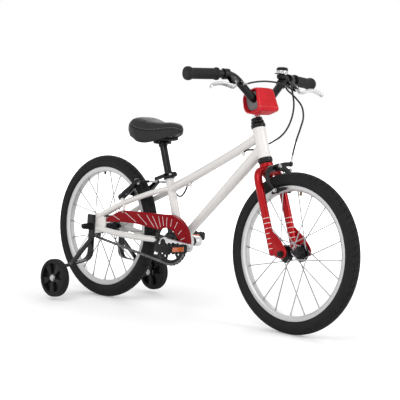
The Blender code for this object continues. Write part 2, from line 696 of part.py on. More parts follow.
def build_cables(steering):
    """The cable housings, from each lever to its brake's left arm."""
    run = (TOP_TUBE_HEAD - TOP_TUBE_SEAT).normalized()
    points = [(640, 76, 657), (663, 80, 640), (688, 83, 615), (699, 80, 585)]
    points += [(698, 72, 555), (692, 66, 524), (687.5, 61.5, 494), (687.2, 56.2, 468.4)]
    path = smooth([lever_exit(1), lever_exit(1, 81), *[rear(*p) for p in points]], 2)
    as_part(tube(path, 2.5, 8), "front_brake_cable", "black", steering)

    points = [(630, -62, 670.5), (631, -37, 674.5), (630, -9, 677), (629, 20, 677.3)]
    points += [(629, 49, 676), (634, 76, 671), (640, 92, 660), (645, 95, 640), (650, 94, 620)]
    points += [(652, 91, 600), (650, 88, 580), (646, 82, 560), (640, 74, 545), (632, 63, 533)]
    points += [(622, 50, 525), (612, 36, 517), (600, 21, 505), (585, 8, 493)]
    stop = [CABLE_STOPS[1] + run * 0.018, CABLE_STOPS[1] + run * 0.0066]
    path = smooth([lever_exit(-1), lever_exit(-1, 80), *[rear(*p) for p in points], *stop], 2)
    as_part(tube(path, 2.5, 8), "rear_brake_cable_front", "black", steering)

    points = [(342, 0.5, 367), (336, 2, 357), (328, 4, 347.5), (319, 7, 340.5), (309, 11, 336)]
    points += [(298, 16, 334), (284, 24, 334), (264, 33, 340), (247, 40, 352), (229, 48, 366)]
    end = BRAKE_FOOT + Y_AXIS * 0.0525 + BRAKE_UP * ((ARM_REACH + 20.6) * MM) - BRAKE_OUT * 0.0172
    housing = [CABLE_STOPS[0] - run * 0.0064, *[rear(*p) for p in points], end]
    housing = smooth(housing, 2)
    wire = [CABLE_STOPS[1], CABLE_STOPS[0] - run * 0.0062]
    scales = [0.4, 0.4] + [1] * len(housing)
    as_part(tube(wire + housing, 2.5, 8, scales), "rear_brake_cable", "black")


def build_seat():
    """Seatpost, saddle and its clamp, and the collar with its quick-release lever."""
    slide = axis_point("seatpost_axis", seat(SEAT_TUBE_LENGTH))
    as_part(rod(seat(88), seat(293.4), POST_RADIUS, 16), "seatpost", "black", slide)
    clamp = block((34, 50, 15), rear(228, 0, 491.8))
    wire = [(150, 20, 506), (153, 20, 501.5), (166, 20, 497.8), (248, 20, 497.8), (268, 13, 499)]
    wire += [(287, 4, 502)]
    path = [rear(*p) for p in wire]
    path += mirrored(path)[::-1]
    as_part(join(clamp, tube(path, 3.5, 8)), "saddle_clamp", "steel", slide)
    build_saddle(slide)

    low, high = SEAT_TUBE_LENGTH - 16, SEAT_TUBE_LENGTH + 2
    wall = [(16, high), (16, low), (13.1, low), (13.1, high)]
    collar = turned(wall, BB, SEAT_UP, 14, closed=True)
    turn = frame_of(SEAT_FORE, Y_AXIS, SEAT_FORE.cross(Y_AXIS))
    middle = (low + high) / 2
    lug = block((12, 16, 15), seat(middle, 19), turn)
    cut(lug, rod(seat(low - 5), seat(high + 5), 14, 16))
    cut(lug, block((20, 2, 30), seat(middle, 20), turn))
    cut(collar, block((8, 2, 30), seat(middle, 15), turn))
    bolt = rod(seat(middle, 20, -14.5), seat(middle, 20, 9), 2.6, 8)
    nut = rod(seat(middle, 20, 7.5), seat(middle, 20, 13), 6, 12)
    hinge = rod(seat(middle - 5, 20, -15.5), seat(middle + 5, 20, -15.5), 2.4, 8)
    as_part(join(collar, lug, bolt, nut, hinge), "seat_clamp_collar", "black")

    shape = arc(20, -15.5, 5.5, -90, 100, 8) + [(6, -19), (-32, -21), (-35, -24), (-33, -28)]
    shape += [(5, -27)]
    lever = slab([shape, circle(20, -15.5, 2.8, 10)], 9.4, seat(middle), turn)
    room = block((15, 18, 5.8), seat(middle, 20.5, -13.75), turn)
    empty = axis_point("seat_clamp_lever_axis", seat(middle, 20, -15.5))
    as_part(cut(lever, room), "seat_clamp_lever", "black", empty)


def build_saddle(slide):
    """The padded saddle: a loft of shells along x, hollowed under, with a seam round it."""
    rows = [(126, 30, 545, 519), (132, 50, 554, 511), (146, 62, 560, 502), (160, 65, 561, 495)]
    rows += [(180, 64, 557, 487), (205, 53, 551.5, 485.5), (235, 36, 549, 490)]
    rows += [(265, 27, 550, 501), (288, 20, 547.5, 512), (301, 12, 541, 517), (306, 5, 532, 521)]
    bm = bmesh.new()
    rings = []
    for x, w, high, low in smooth([Vector(row) for row in rows], 2):
        seam = 0.55 * high + 0.45 * low
        fat = (high - low) / 70
        roof = max(509, low + 1)
        half = [(0, high), (0.45 * w, high - 1.5 * fat), (0.8 * w, high - 9 * fat)]
        half += [(0.97 * w, seam + 9 * fat), (w, seam + 3 * fat), (0.96 * w, seam)]
        half += [(w, seam - 3 * fat), (0.91 * w, low), (0.83 * w, low), (0.78 * w, roof), (0, roof)]
        ring = half + [(-y, z) for y, z in reversed(half[1:-1])]
        rings.append([bm.verts.new(rear(x, y, z)) for y, z in ring])
    for first, second in zip(rings, rings[1:]):
        for i in range(len(first)):
            k = (i + 1) % len(first)
            bm.faces.new((first[i], first[k], second[k], second[i]))
    bm.faces.new(rings[0])
    bm.faces.new(rings[-1])
    bmesh.ops.recalc_face_normals(bm, faces=bm.faces)
    as_part(mesh_object(bm), "saddle", "vinyl", slide)


def build_drive():
    """Chainring, cranks, pedals, chain and the chainguard."""
    crank = axis_point("crank_axis", BB)
    windows = []
    for k in range(5):
        middle = 64 + 72 * k
        outer = arc(0, 0, 51, middle - 24, middle + 24, 5)
        windows.append(outer + arc(0, 0, 31, middle + 20, middle - 20, 4))
    place = BB + Y_AXIS * (CHAIN_Y * MM)
    ring = slab(sprocket(RING_TEETH, RING_RADIUS - 0.6, 9.2, windows), 3, place, side_view())
    as_part(ring, "chainring", "black", crank)
    spindle = rod(BB - Y_AXIS * 0.07, BB + Y_AXIS * 0.07, 8.4, 14)
    as_part(spindle, "crank_spindle", "steel", crank)

    aim = Vector((math.cos(CRANK_DROP), 0, math.sin(CRANK_DROP)))
    for side, word in SIDES:
        reach = aim * (-side * CRANK_LENGTH * MM)
        outline = belt((0, 0), 15, (reach.x / MM, reach.z / MM), 12.5, 7)
        arm = slab([outline], 12, BB + Y_AXIS * (side * 68 * MM), side_view())
        inner = 43.8 if side < 0 else 50
        join(arm, rod(BB + Y_AXIS * (side * inner * MM), BB + Y_AXIS * (side * 0.0735), 14.6, 16))
        join(arm, rod(BB + reach + Y_AXIS * (side * 0.066), BB + reach + Y_AXIS * (side * 0.172), 5, 10))
        cut(arm, rod(BB + Y_AXIS * (side * 0.04), BB + Y_AXIS * (side * 0.0703), 8.9, 14))
        cut(arm, rod(BB + Y_AXIS * (side * 0.0715), BB + Y_AXIS * (side * 0.08), 7, 6))
        as_part(arm, "crank_arm_" + word, "alloy", crank)

        centre = BB + reach + Y_AXIS * (side * 0.138)
        pedal = slab([round_box((-28, -38), (28, 38), (6, 6, 6, 6))], 25, centre, Matrix())
        for x in (-17, 17):
            for y in (-17, 17):
                cut(pedal, block((14, 26, 30), centre + Vector((x * MM, y * MM, 0))))
        cut(pedal, rod(centre - Y_AXIS * 0.05, centre + Y_AXIS * 0.05, 5.6, 12))
        pedal_empty = axis_point("pedal_axis_" + word, centre)
        as_part(pedal, "pedal_" + word, "black", pedal_empty)

    ring_centre, cog_centre = (BB.x / MM, BB.z / MM), (REAR.x / MM, REAR.z / MM)
    loops = [
        belt(ring_centre, RING_RADIUS + 4.2, cog_centre, COG_RADIUS + 4.2, 23),
        belt(ring_centre, RING_RADIUS - 0.2, cog_centre, COG_RADIUS - 0.2, 23),
    ]
    as_part(slab(loops, 6.4, Y_AXIS * (CHAIN_Y * MM), side_view()), "chain", "steel")

    x, z = 330, BB_Z / MM
    front = arc(x, z, GUARD_RADIUS, -16, 93.5, 14)
    outline = front + [(290, 281.5), (226, 280.6), (125, 278), (87, 262.7), (50, 245), (50, 234.6)]
    outline += [(82, 238.8), (116.6, 242.5), (154, 243.7), (192.8, 243.8), (238, 240), (288.6, 235.6)]
    outline += [(298, 237.2), (316.6, 245), (335.6, 243.8), (357, 233.3), (371, 217.4), (378, 207)]
    outline += [(398, 207), (402, 200), (403, 180)]
    place = rear(0, -53.7, 0)
    guard = slab([outline], 2, place, side_view())
    edge = arc(x, z, GUARD_RADIUS - 1.6, -15, 93.5, 14) + [(290, 279.8), (226, 278.9), (126, 276.3)]
    wall = slab([strip(edge, 1)], 18, rear(0, -45.1, 0), side_view())
    tab = block((12, 4.5, 26), rear(130, -50.95, 283))
    stay = [rear(70, -53, 275), rear(120, -48, 298), rear(160, -43, 313)]
    as_part(cut(join(guard, wall, tab), tube(stay, 8.4, 16)), "chainguard", "guard_red")


def build_stabilisers():
    """The two stabiliser arms with their bolts, and their wheels."""
    centre_z = STABILISER_Z
    path = [Vector((62.5, 245, 0)), Vector((62.5, 118, 0)), Vector((189, 94, 0))]
    path.append(Vector((189, 52, 0)))
    bar = [(p.x, p.y) for p in rounded([v * MM for v in path], [25, 6], 3)]
    bar = [(y / MM, z / MM) for y, z in bar]
    brace = [(63.5, 178), (74, 168), (137, 103), (140, 100)]
    for side, word in SIDES:
        flat = [(side * y, z) for y, z in strip(bar, 2)]
        arm = slab([flat], 26, rear(0, 0, 0), end_view())
        rib = [(side * y, z) for y, z in strip(brace, 2.5)]
        join(arm, slab([rib], 20, rear(0, 0, 0), end_view()))
        centre = rear(STABILISER_X, side * STABILISER_Y, centre_z)
        out = Y_AXIS * side
        join(arm, rod(centre - out * 0.0263, centre - out * 0.0158, 9, 8))
        join(arm, rod(centre - out * 0.02, centre + out * 0.0125, 5, 8))
        join(arm, rod(centre - out * 0.0123, centre - out * 0.0084, 8, 8))
        join(arm, rod(centre + out * 0.0084, centre + out * 0.0126, 9, 8))
        cut(arm, rod(REAR + out * 0.05, REAR + out * 0.08, 5, 12))
        as_part(arm, "stabiliser_arm_" + word, "black")

        rim = [(52.5, 12), (STABILISER_RADIUS, 8), (STABILISER_RADIUS, -8), (52.5, -12)]
        rim += [(47, -12), (47, 12)]
        spokes = []
        for k in range(5):
            turn = math.radians(90 + 72 * k)
            wedge = [(14, -3.5), (41, -17), (41, 17), (14, 3.5)]
            spokes.append(
                [
                    (r * math.cos(turn) - t * math.sin(turn), r * math.sin(turn) + t * math.cos(turn))
                    for r, t in wedge
                ]
            )
        disc = slab([circle(0, 0, 49, 18), circle(0, 0, 5.5, 8), *spokes], 15.8, centre, side_view())
        tread = turned(rim, centre, Y_AXIS, 18, closed=True)
        empty = axis_point("stabiliser_axis_" + word, centre)
        as_part(join(tread, disc), "stabiliser_wheel_" + word, "rubber", empty)


TOP_TUBE_SEAT = rear(278.5, 0, 355.6)
TOP_TUBE_HEAD = rear(617, 0, 527)
CABLE_STOPS = (rear(353.5, 0, 375.5), rear(555, 0, 477.6))
BRAKE_FOOT = rear(111.7, 0, 316.7)
BELL = rear(602.1, 91.3, 675.7)
BAR_BENDS = [rear(571.7, 254.7, 682.5), rear(599, 108.6, 690.1), rear(614, 27, 622)]
BAR_PATH = mirrored(BAR_BENDS) + BAR_BENDS[::-1]

clear_scene()
BIKE = new_collection("kids_bike")
CUTTERS = new_collection("cutters")
build_wheels()
build_frame()
STEERING = build_fork()
build_bars(STEERING)
build_front_brake(STEERING)
build_rear_brake()
build_cables(STEERING)
build_seat()
build_drive()
build_stabilisers()
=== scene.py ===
"""Kids bike with stabilisers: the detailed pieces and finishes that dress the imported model.

Shapes are worked out in millimetres: x forward from the rear axle, y to the rider's left, z up
from the ground. add_piece() turns them into metres in the model's own frame.
"""

import math

import bmesh
import bpy
import numpy as np
from bpy.props import FloatProperty, FloatVectorProperty, IntProperty, PointerProperty
from mathutils import Matrix, Vector


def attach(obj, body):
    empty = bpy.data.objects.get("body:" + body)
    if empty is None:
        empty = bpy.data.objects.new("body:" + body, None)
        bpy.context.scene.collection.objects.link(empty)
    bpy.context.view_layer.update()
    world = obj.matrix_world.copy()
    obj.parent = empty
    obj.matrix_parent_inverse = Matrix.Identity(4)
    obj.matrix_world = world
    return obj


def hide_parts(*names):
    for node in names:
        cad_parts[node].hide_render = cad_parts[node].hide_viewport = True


bl_info = {
    "name": "Kids bike with stabilisers",
    "version": (1, 0, 0),
    "blender": (4, 5, 0),
    "location": "View3D > Sidebar > Kids bike",
    "description": "Builds the detailed pieces, finishes and stage of a kids bike",
    "category": "Add Mesh",
}

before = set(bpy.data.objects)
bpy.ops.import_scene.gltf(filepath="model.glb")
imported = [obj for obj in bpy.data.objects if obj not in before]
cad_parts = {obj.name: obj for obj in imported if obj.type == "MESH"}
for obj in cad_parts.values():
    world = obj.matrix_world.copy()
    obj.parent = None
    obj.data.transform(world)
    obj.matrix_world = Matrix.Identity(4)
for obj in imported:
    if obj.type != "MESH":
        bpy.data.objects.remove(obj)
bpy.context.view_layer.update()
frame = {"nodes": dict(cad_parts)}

MM = 0.001
SIDES = ((-1, "right"), (1, "left"))
FORWARD, LEFT, UPWARD = np.eye(3)

WHEELBASE = 763.0
AXLE_Z = 219.5 * math.cos(math.pi / 30)
REAR_HUB = np.array((0, 0, AXLE_Z))
FRONT_HUB = np.array((WHEELBASE, 0, AXLE_Z))
CRANK = np.array((330, 0, 203.5))
HEAD_TILT = math.radians(70)
HEAD_FORE = np.array((math.sin(HEAD_TILT), 0, math.cos(HEAD_TILT)))
HEAD_UP = np.array((-math.cos(HEAD_TILT), 0, math.sin(HEAD_TILT)))
FORK_RAKE = 32.0
HEAD_FOOT = FRONT_HUB - HEAD_FORE * FORK_RAKE
HEAD_AXES = np.array((HEAD_FORE, LEFT, HEAD_UP))
HEAD_SIDE_VIEW = np.array((HEAD_FORE, HEAD_UP, -LEFT))
SEAT_TILT = math.radians(70.5)
SEAT_FORE = np.array((math.sin(SEAT_TILT), 0, math.cos(SEAT_TILT)))
SEAT_UP = np.array((-math.cos(SEAT_TILT), 0, math.sin(SEAT_TILT)))
SEAT_AXES = np.array((SEAT_FORE, LEFT, SEAT_UP))
BRAKE_TILT = math.radians(40.5)
BRAKE_UP = np.array((math.cos(BRAKE_TILT), 0, math.sin(BRAKE_TILT)))
BRAKE_OUT = np.array((-math.sin(BRAKE_TILT), 0, math.cos(BRAKE_TILT)))
REACH = np.array((0.769, 0, -0.639)) / math.hypot(0.769, 0.639)
FRONT_BOLT = 240.0
CHAIN_Y = -42.0
PITCH = 12.7
RING_RADIUS = PITCH / (2 * math.sin(math.pi / 32))
COG_RADIUS = PITCH / (2 * math.sin(math.pi / 16))
CRANK_DROP = math.radians(-2.5)
CRANK_LENGTH = 101.0
BAR_RADIUS = 11.1
HEAD_TUBE_LOW, HEAD_TUBE_HIGH, HEAD_TUBE_RADIUS = 276.6, 362.7, 17.6
SEAT_TUBE_RADIUS = 12.7
TOP_TUBE_RADIUS = 12.7
DOWN_TUBE_RADIUS = 17.2
CRANK_SHELL_RADIUS = 20.0
FORK_LEG_Y, FORK_LEG_RADIUS, CLAW_Y = 46.0, 11.2, 52.0
PEDAL_Y = 138.0
GUARD_Y = -53.7
RIM_BED = 167.0
BRAKE_PIVOT_Y = 48.0
STABILISER_HUB = np.array((6.6, 203.3, 66.0))
SIDE_VIEW = np.array((FORWARD, UPWARD, -LEFT))


# Points and curves


def in_head(*points):
    """Points (ahead of the steering axis, left, up it) in the bike's millimetres."""
    return HEAD_FOOT + np.squeeze(np.array(points, float)) @ HEAD_AXES


def in_seat(*points):
    """Points (ahead of the seat tube's axis, left, up it) in the bike's millimetres."""
    return CRANK + np.squeeze(np.array(points, float)) @ SEAT_AXES


def beside_head(outline):
    """An outline (ahead of the steering axis, up it) set in the bike's middle plane."""
    return HEAD_FOOT + outline[:, :1] * HEAD_FORE + outline[:, 1:] * HEAD_UP


def mirrored(points):
    """The same points on the other side: y turned to -y."""
    return np.array(points, float) * (1, -1, 1)


def unit(vector):
    """A vector, or rows of them, divided by its length."""
    vector = np.asarray(vector, float)
    return vector / np.linalg.norm(vector, axis=-1, keepdims=True)


def square_to(axis):
    """Rows: two directions square to an axis, the first as near to x as it can be, and the axis."""
    axis = unit(axis)
    guide = FORWARD if abs(axis[0]) < 0.9 else UPWARD
    first = unit(guide - axis * (guide @ axis))
    return np.array((first, np.cross(axis, first), axis))


def eased(points, reach, steps=4, loop=False):
    """Corners cut back by a reach and bridged by (1-t)^2 A + 2t(1-t) B + t^2 C."""
    points = np.asarray(points, float)
    cut = np.broadcast_to(np.asarray(reach, float), len(points))[:, None]
    ends = []
    for other in (np.roll(points, 1, axis=0), np.roll(points, -1, axis=0)):
        run = other - points
        length = np.linalg.norm(run, axis=1, keepdims=True)
        ends.append(points + run * np.minimum(cut / np.maximum(length, 1e-9), 0.47))
    t = np.linspace(0, 1, steps + 1)[None, :, None]
    bent = (1 - t) ** 2 * ends[0][:, None] + 2 * t * (1 - t) * points[:, None] + t**2 * ends[1][:, None]
    if loop:
        return bent.reshape(-1, points.shape[1])
    return np.vstack((points[:1], bent[1:-1].reshape(-1, points.shape[1]), points[-1:]))


def even(curve, count):
    """A curve read again at evenly spaced lengths."""
    curve = np.asarray(curve, float)
    run = np.linalg.norm(np.diff(curve, axis=0), axis=1)
    length = np.concatenate(([0], np.cumsum(run)))
    at = np.linspace(0, length[-1], count)
    return np.column_stack([np.interp(at, length, column) for column in curve.T])


def even_loop(curve, count):
    """A closed curve read again at evenly spaced lengths."""
    return even(np.vstack((curve, curve[:1])), count + 1)[:-1]


def flowing(points, count):
    """A Catmull-Rom curve through points: half of 2b+(c-a)t+(2a-5b+4c-d)t^2+(3b-a-3c+d)t^3."""
    p = np.asarray(points, float)
    p = np.vstack((2 * p[0] - p[1], p, 2 * p[-1] - p[-2]))
    t = np.linspace(0, len(p) - 3, 24 * (len(p) - 3) + 1)
    i = np.minimum(t.astype(int), len(p) - 4)
    t = (t - i)[:, None]
    a, b, c, d = p[i], p[i + 1], p[i + 2], p[i + 3]
    bend = (2 * a - 5 * b + 4 * c - d) * t**2 + (3 * b - a - 3 * c + d) * t**3
    return even((2 * b + (c - a) * t + bend) / 2, count)


def circle(radius, count=32):
    """Points (r cos a, r sin a) round a circle."""
    a = np.arange(count) * 2 * math.pi / count
    return np.column_stack((radius * np.cos(a), radius * np.sin(a)))


def arc(x, z, radius, start, stop, count):
    """Points along an arc about (x, z), angles in degrees."""
    a = np.radians(np.linspace(start, stop, count))
    return np.column_stack((x + radius * np.cos(a), z + radius * np.sin(a)))


def soft_box(width, height, corner, steps=4):
    """A rectangle with rounded corners."""
    x, y = width / 2, height / 2
    return eased([(x, -y), (x, y), (-x, y), (-x, -y)], corner, steps, loop=True)


def spaced(centre, radius, count, lead=0.0):
    """Points evenly round a circle in the wheels' plane, the first at an angle lead."""
    a = lead + np.arange(count) * 2 * math.pi / count
    return np.asarray(centre) + radius * np.column_stack((np.cos(a), 0 * a, np.sin(a)))


def hoop(inner, outer, low, high):
    """The square profile of a ring between two radii and two heights."""
    return [(inner, low), (outer, low), (outer, high), (inner, high)]


def both_ways(half):
    """Half a profile (r, h) and then its mirror image (r, -h)."""
    return half + [(r, -h) for r, h in reversed(half)]


def belt(first, first_radius, second, second_radius, count):
    """The outline drawn tight round two circles, the first the larger."""
    dx, dy = first[0] - second[0], first[1] - second[1]
    lie = math.degrees(math.atan2(dy, dx))
    lean = math.degrees(math.asin((first_radius - second_radius) / math.hypot(dx, dy)))
    wide = arc(*first, first_radius, lie - 90 - lean, lie + 90 + lean, count)
    small = arc(*second, second_radius, lie + 90 + lean, lie + 270 - lean, count // 2 + 2)
    return np.vstack((wide, small))


# Surfaces: each gives its points and its faces


def grid(points, wrap_rows=False, wrap_columns=True):
    """Quads between the neighbours of a (rows, columns, 3) array; a wrapped side meets itself."""
    index = np.arange(points.shape[0] * points.shape[1]).reshape(points.shape[:2])
    if wrap_rows:
        index = np.vstack((index, index[:1]))
    if wrap_columns:
        index = np.hstack((index, index[:, :1]))
    quads = np.stack((index[:-1, :-1], index[1:, :-1], index[1:, 1:], index[:-1, 1:]), -1)
    return points.reshape(-1, 3), quads.reshape(-1, 4)


def lofted(rings, loop=False):
    """Rings of matching points joined in turn, closed at both ends by their middle points."""
    rings = np.asarray(rings, float)
    if not loop:
        ends = [np.repeat(rings[i].mean(0)[None, None], rings.shape[1], 1) for i in (0, -1)]
        rings = np.concatenate((ends[0], rings, ends[1]))
    return grid(rings, wrap_rows=loop)


def rings_along(path, section, size=1.0, guide=None, loop=False):
    """A section (u, v) carried along a path: point + size * (u * side + v * rise).

    Side is the run crossed with the guide, and rise is side crossed with the run.
    """
    path = np.asarray(path, float)
    run = np.roll(path, -1, 0) - np.roll(path, 1, 0) if loop else np.gradient(path, axis=0)
    run = unit(run)
    if guide is None:
        guide = np.linalg.svd(path - path.mean(0))[2][2]
    side = unit(np.cross(run, guide))
    rise = np.cross(side, run)
    size = np.asarray(size, float)
    size = np.broadcast_to(size if size.ndim == 2 else size.reshape(-1, 1), (len(path), 2))
    u = section[None, :, :1] * size[:, None, :1]
    v = section[None, :, 1:] * size[:, None, 1:]
    return path[:, None] + side[:, None] * u + rise[:, None] * v


def swept(path, section, size=1.0, guide=None, loop=False):
    """The surface of a section carried along a path, closed at its ends."""
    return lofted(rings_along(path, section, size, guide, loop), loop)


def spun(profile, place, axis, steps=48, loop=False):
    """A profile (r, h) turned about an axis: place + r cos a * X + r sin a * Y + h * axis."""
    profile = np.asarray(profile, float)
    first, second, axis = square_to(axis)
    a = (np.arange(steps) * 2 * math.pi / steps)[:, None, None]
    out = first * np.cos(a) + second * np.sin(a)
    points = np.asarray(place) + out * profile[None, :, :1] + axis * profile[None, :, 1:]
    return grid(points, wrap_rows=True, wrap_columns=loop)


def turned(profile, ease, corners, place, axis, steps):
    """A closed profile with its corners eased, spun about an axis."""
    return spun(eased(profile, ease, corners, loop=True), place, axis, steps, loop=True)


def rod(start, end, radius, edge=0.6, steps=32):
    """A round bar between two points with softened ends."""
    start, end = np.asarray(start, float), np.asarray(end, float)
    length = np.linalg.norm(end - start)
    profile = eased([(0, 0), (radius, 0), (radius, length), (0, length)], edge, 3)
    return spun(profile, start, end - start, steps)


def block(size, place, axes=None, edge=1.0):
    """A box with rounded corners and softened ends, its sides along three axes."""
    axes = np.eye(3) if axes is None else np.asarray(axes)
    x, y, z = size
    inset = edge * 0.7
    rings = []
    for shrink, height in ((inset, -z / 2), (0, inset - z / 2), (0, z / 2 - inset), (inset, z / 2)):
        ring = soft_box(x - 2 * shrink, y - 2 * shrink, edge, 3)
        rings.append(np.column_stack((ring, np.full(len(ring), height))))
    return lofted(np.asarray(place) + np.array(rings) @ axes)


def plate(outlines, thickness, edge, place, axes):
    """A flat outline with its holes, filled, given a thickness and softened edges."""
    curve = bpy.data.curves.new("outline", "CURVE")
    curve.dimensions = "2D"
    curve.fill_mode = "BOTH"
    curve.extrude = thickness / 2 - edge
    curve.bevel_depth = edge
    curve.bevel_resolution = 1
    curve.offset = -edge
    for outline in outlines:
        spline = curve.splines.new("POLY")
        spline.points.add(len(outline) - 1)
        flat = np.column_stack((outline, np.zeros(len(outline)), np.ones(len(outline))))
        spline.points.foreach_set("co", flat.ravel())
        spline.use_cyclic_u = True
    holder = bpy.data.objects.new("outline", curve)
    mesh = bpy.data.meshes.new_from_object(holder)
    points = np.empty(len(mesh.vertices) * 3)
    mesh.vertices.foreach_get("co", points)
    faces = [list(face.vertices) for face in mesh.polygons]
    bpy.data.objects.remove(holder)
    bpy.data.curves.remove(curve)
    bpy.data.meshes.remove(mesh)
    return np.asarray(place) + points.reshape(-1, 3) @ np.asarray(axes), faces


def hexagon(place, axis, across, height, edge=0.5):
    """A six-sided nut or bolt head, its corners chamfered."""
    r = across / math.sqrt(3)
    profile = [(0, 0), (r - edge, 0), (r, edge), (r, height - edge), (r - edge, height), (0, height)]
    return spun(profile, place, axis, 6)


def socket_bolt(place, axis, radius, height):
    """A round bolt head with a hexagonal socket: a turned rim over a six-sided well."""
    head = [(radius * 0.55, height), (radius * 0.8, height), (radius, height * 0.7), (radius, 0)]
    head += [(0, 0), (0, height * 0.4), (radius * 0.55, height * 0.4)]
    return turned(head, 0.3, 2, place, axis, 24)


def screw_thread(start, end, radius):
    """A threaded stub: a turned profile of fine ridges with a chamfered tip."""
    start, end = np.asarray(start, float), np.asarray(end, float)
    length = np.linalg.norm(end - start)
    h = np.linspace(0, length - 0.8, max(int(length / 0.35), 4))
    r = radius - 0.22 * (1 + np.cos(h * 2 * math.pi / 1.05)) / 2
    profile = np.vstack(([(0, 0)], np.column_stack((r, h)), [(radius - 0.9, length), (0, length)]))
    return spun(profile, start, end - start, 20)


def coped(ring, run, place, axis, radius):
    """A ring's points slid along a run to a round tube's near side.

    t solves |p + t * run - place|^2, square to the axis, = radius^2, at its smaller root.
    """
    ring = np.asarray(ring, float)
    axis, run = unit(axis), unit(run)
    across = ring - place
    across = across - (across @ axis)[:, None] * axis
    drive = run - (run @ axis) * axis
    a, b = drive @ drive, across @ drive
    c = (across**2).sum(1) - radius**2
    root = np.sqrt(np.maximum(b * b - a * c, 0))
    return ring + ((-b - root) / a)[:, None] * run


def weld(ring, run, place, axis, radius, bead=2.1):
    """The bead where one tube meets another: a rippled cord along the coped joint."""
    path = coped(ring, run, place, axis, radius + 0.2)
    path = even_loop(path, 360)
    ripple = 1 + 0.13 * np.abs(np.sin(np.arange(360) * math.pi * 27 / 180))
    run = unit(np.roll(path, -1, 0) - np.roll(path, 1, 0))
    out = path - np.asarray(place)
    out = unit(out - (out @ unit(axis))[:, None] * unit(axis))
    side = unit(np.cross(run, out))
    rise = np.cross(side, run)
    section = circle(bead, 10)
    u = section[None, :, :1] * ripple[:, None, None]
    v = section[None, :, 1:] * ripple[:, None, None]
    return lofted(path[:, None] + side[:, None] * u + rise[:, None] * v, loop=True)


# Finishes


def new_look(name, colour, rough, metal=0.0, **sockets):
    """A Principled material with its even values set on the shader itself."""
    look = bpy.data.materials.new(name)
    look.use_nodes = True
    shader = look.node_tree.nodes["Principled BSDF"]
    shader.inputs["Base Color"].default_value = (*colour, 1)
    shader.inputs["Roughness"].default_value = rough
    shader.inputs["Metallic"].default_value = metal
    for socket, value in sockets.items():
        shader.inputs[socket.replace("_", " ")].default_value = value
    look.diffuse_color = (*colour, 1)
    return look


def add_node(look, kind, inputs=None, **values):
    """A node in a material: attributes by name, inputs by name or number, linked or plain."""
    node = look.node_tree.nodes.new(kind)
    for name, value in values.items():
        setattr(node, name, value)
    for key, value in (inputs or {}).items():
        if isinstance(value, bpy.types.NodeSocket):
            look.node_tree.links.new(value, node.inputs[key])
        else:
            node.inputs[key].default_value = value
    return node


def into(look, socket, output):
    """Link an output to a socket of the shader."""
    shader = look.node_tree.nodes["Principled BSDF"]
    look.node_tree.links.new(output, shader.inputs[socket])


def place_of(look):
    """Where a point is on the object."""
    return add_node(look, "ShaderNodeTexCoord").outputs["Object"]


def noise(look, scale, detail=3.0, place=None):
    """Smooth noise from 0 to 1 at a scale in waves a metre."""
    place = place or place_of(look)
    inputs = {"Vector": place, "Scale": scale, "Detail": detail}
    return add_node(look, "ShaderNodeTexNoise", inputs).outputs["Fac"]


def spread(look, value, low, high, start=0.3, stop=0.7):
    """A value from start to stop spread over low to high."""
    inputs = {"Value": value, "From Min": start, "From Max": stop, "To Min": low, "To Max": high}
    return add_node(look, "ShaderNodeMapRange", inputs).outputs["Result"]


def blended(look, share, first, second):
    """One colour mixed into another by a share."""
    node = add_node(look, "ShaderNodeMix", {0: share}, data_type="RGBA")
    for slot, colour in ((6, first), (7, second)):
        if isinstance(colour, bpy.types.NodeSocket):
            look.node_tree.links.new(colour, node.inputs[slot])
        else:
            node.inputs[slot].default_value = (*colour, 1)
    return node.outputs[2]


def arith(look, operation, first, second=0.0):
    """One sum on two values."""
    return add_node(look, "ShaderNodeMath", {0: first, 1: second}, operation=operation).outputs[0]


def raised(look, height, strength, distance):
    """A bump from a height, linked to the shader; distance in metres."""
    inputs = {"Height": height, "Strength": strength, "Distance": distance}
    into(look, "Normal", add_node(look, "ShaderNodeBump", inputs).outputs["Normal"])


def varied(look, colour, amount, scale, rough=None):
    """Slow changes of tone, and of roughness where a range is given."""
    slow = noise(look, scale)
    dark = [c * (1 - amount) for c in colour]
    light = [min(c * (1 + amount), 1) for c in colour]
    into(look, "Base Color", blended(look, spread(look, slow, 0, 1), dark, light))
    if rough:
        into(look, "Roughness", spread(look, noise(look, scale * 3, 5), *rough))


def pearl_paint(colour):
    """Warm white paint with a fine pearl in it, under a clear coat."""
    look = new_look("pearl_paint", colour, 0.32, Coat_Weight=0.6, Coat_Roughness=0.06)
    varied(look, colour, 0.025, 14, (0.28, 0.38))
    raised(look, noise(look, 900, 2), 0.04, 0.0002)
    return look


def candy_paint(colour):
    """Deep red metallic paint: bright flakes under a thick clear coat."""
    look = new_look("candy_paint", colour, 0.3, 0.5, Specular_IOR_Level=0.1, Coat_Weight=0.22)
    flakes = add_node(look, "ShaderNodeTexVoronoi", {"Vector": place_of(look), "Scale": 2600})
    glint = spread(look, flakes.outputs["Distance"], 1.0, 0.0, 0.0, 0.6)
    deep = [c * 0.72 for c in colour]
    bright = [min(c * 1.35 + 0.001, 1) for c in colour]
    into(look, "Base Color", blended(look, glint, deep, bright))
    into(look, "Roughness", spread(look, noise(look, 60, 4), 0.27, 0.37))
    return look


def moulded_plastic(name, colour, rough, grain=500, depth=0.00008, coat=0.0, shine=0.25):
    """Moulded plastic: a fine even grain and slow changes of gloss."""
    look = new_look(name, colour, rough, Specular_IOR_Level=shine, Coat_Weight=coat, Coat_Roughness=0.12)
    varied(look, colour, 0.08, 22, (rough * 0.85, min(rough * 1.15, 1)))
    raised(look, noise(look, grain, 4), 0.35, depth)
    return look


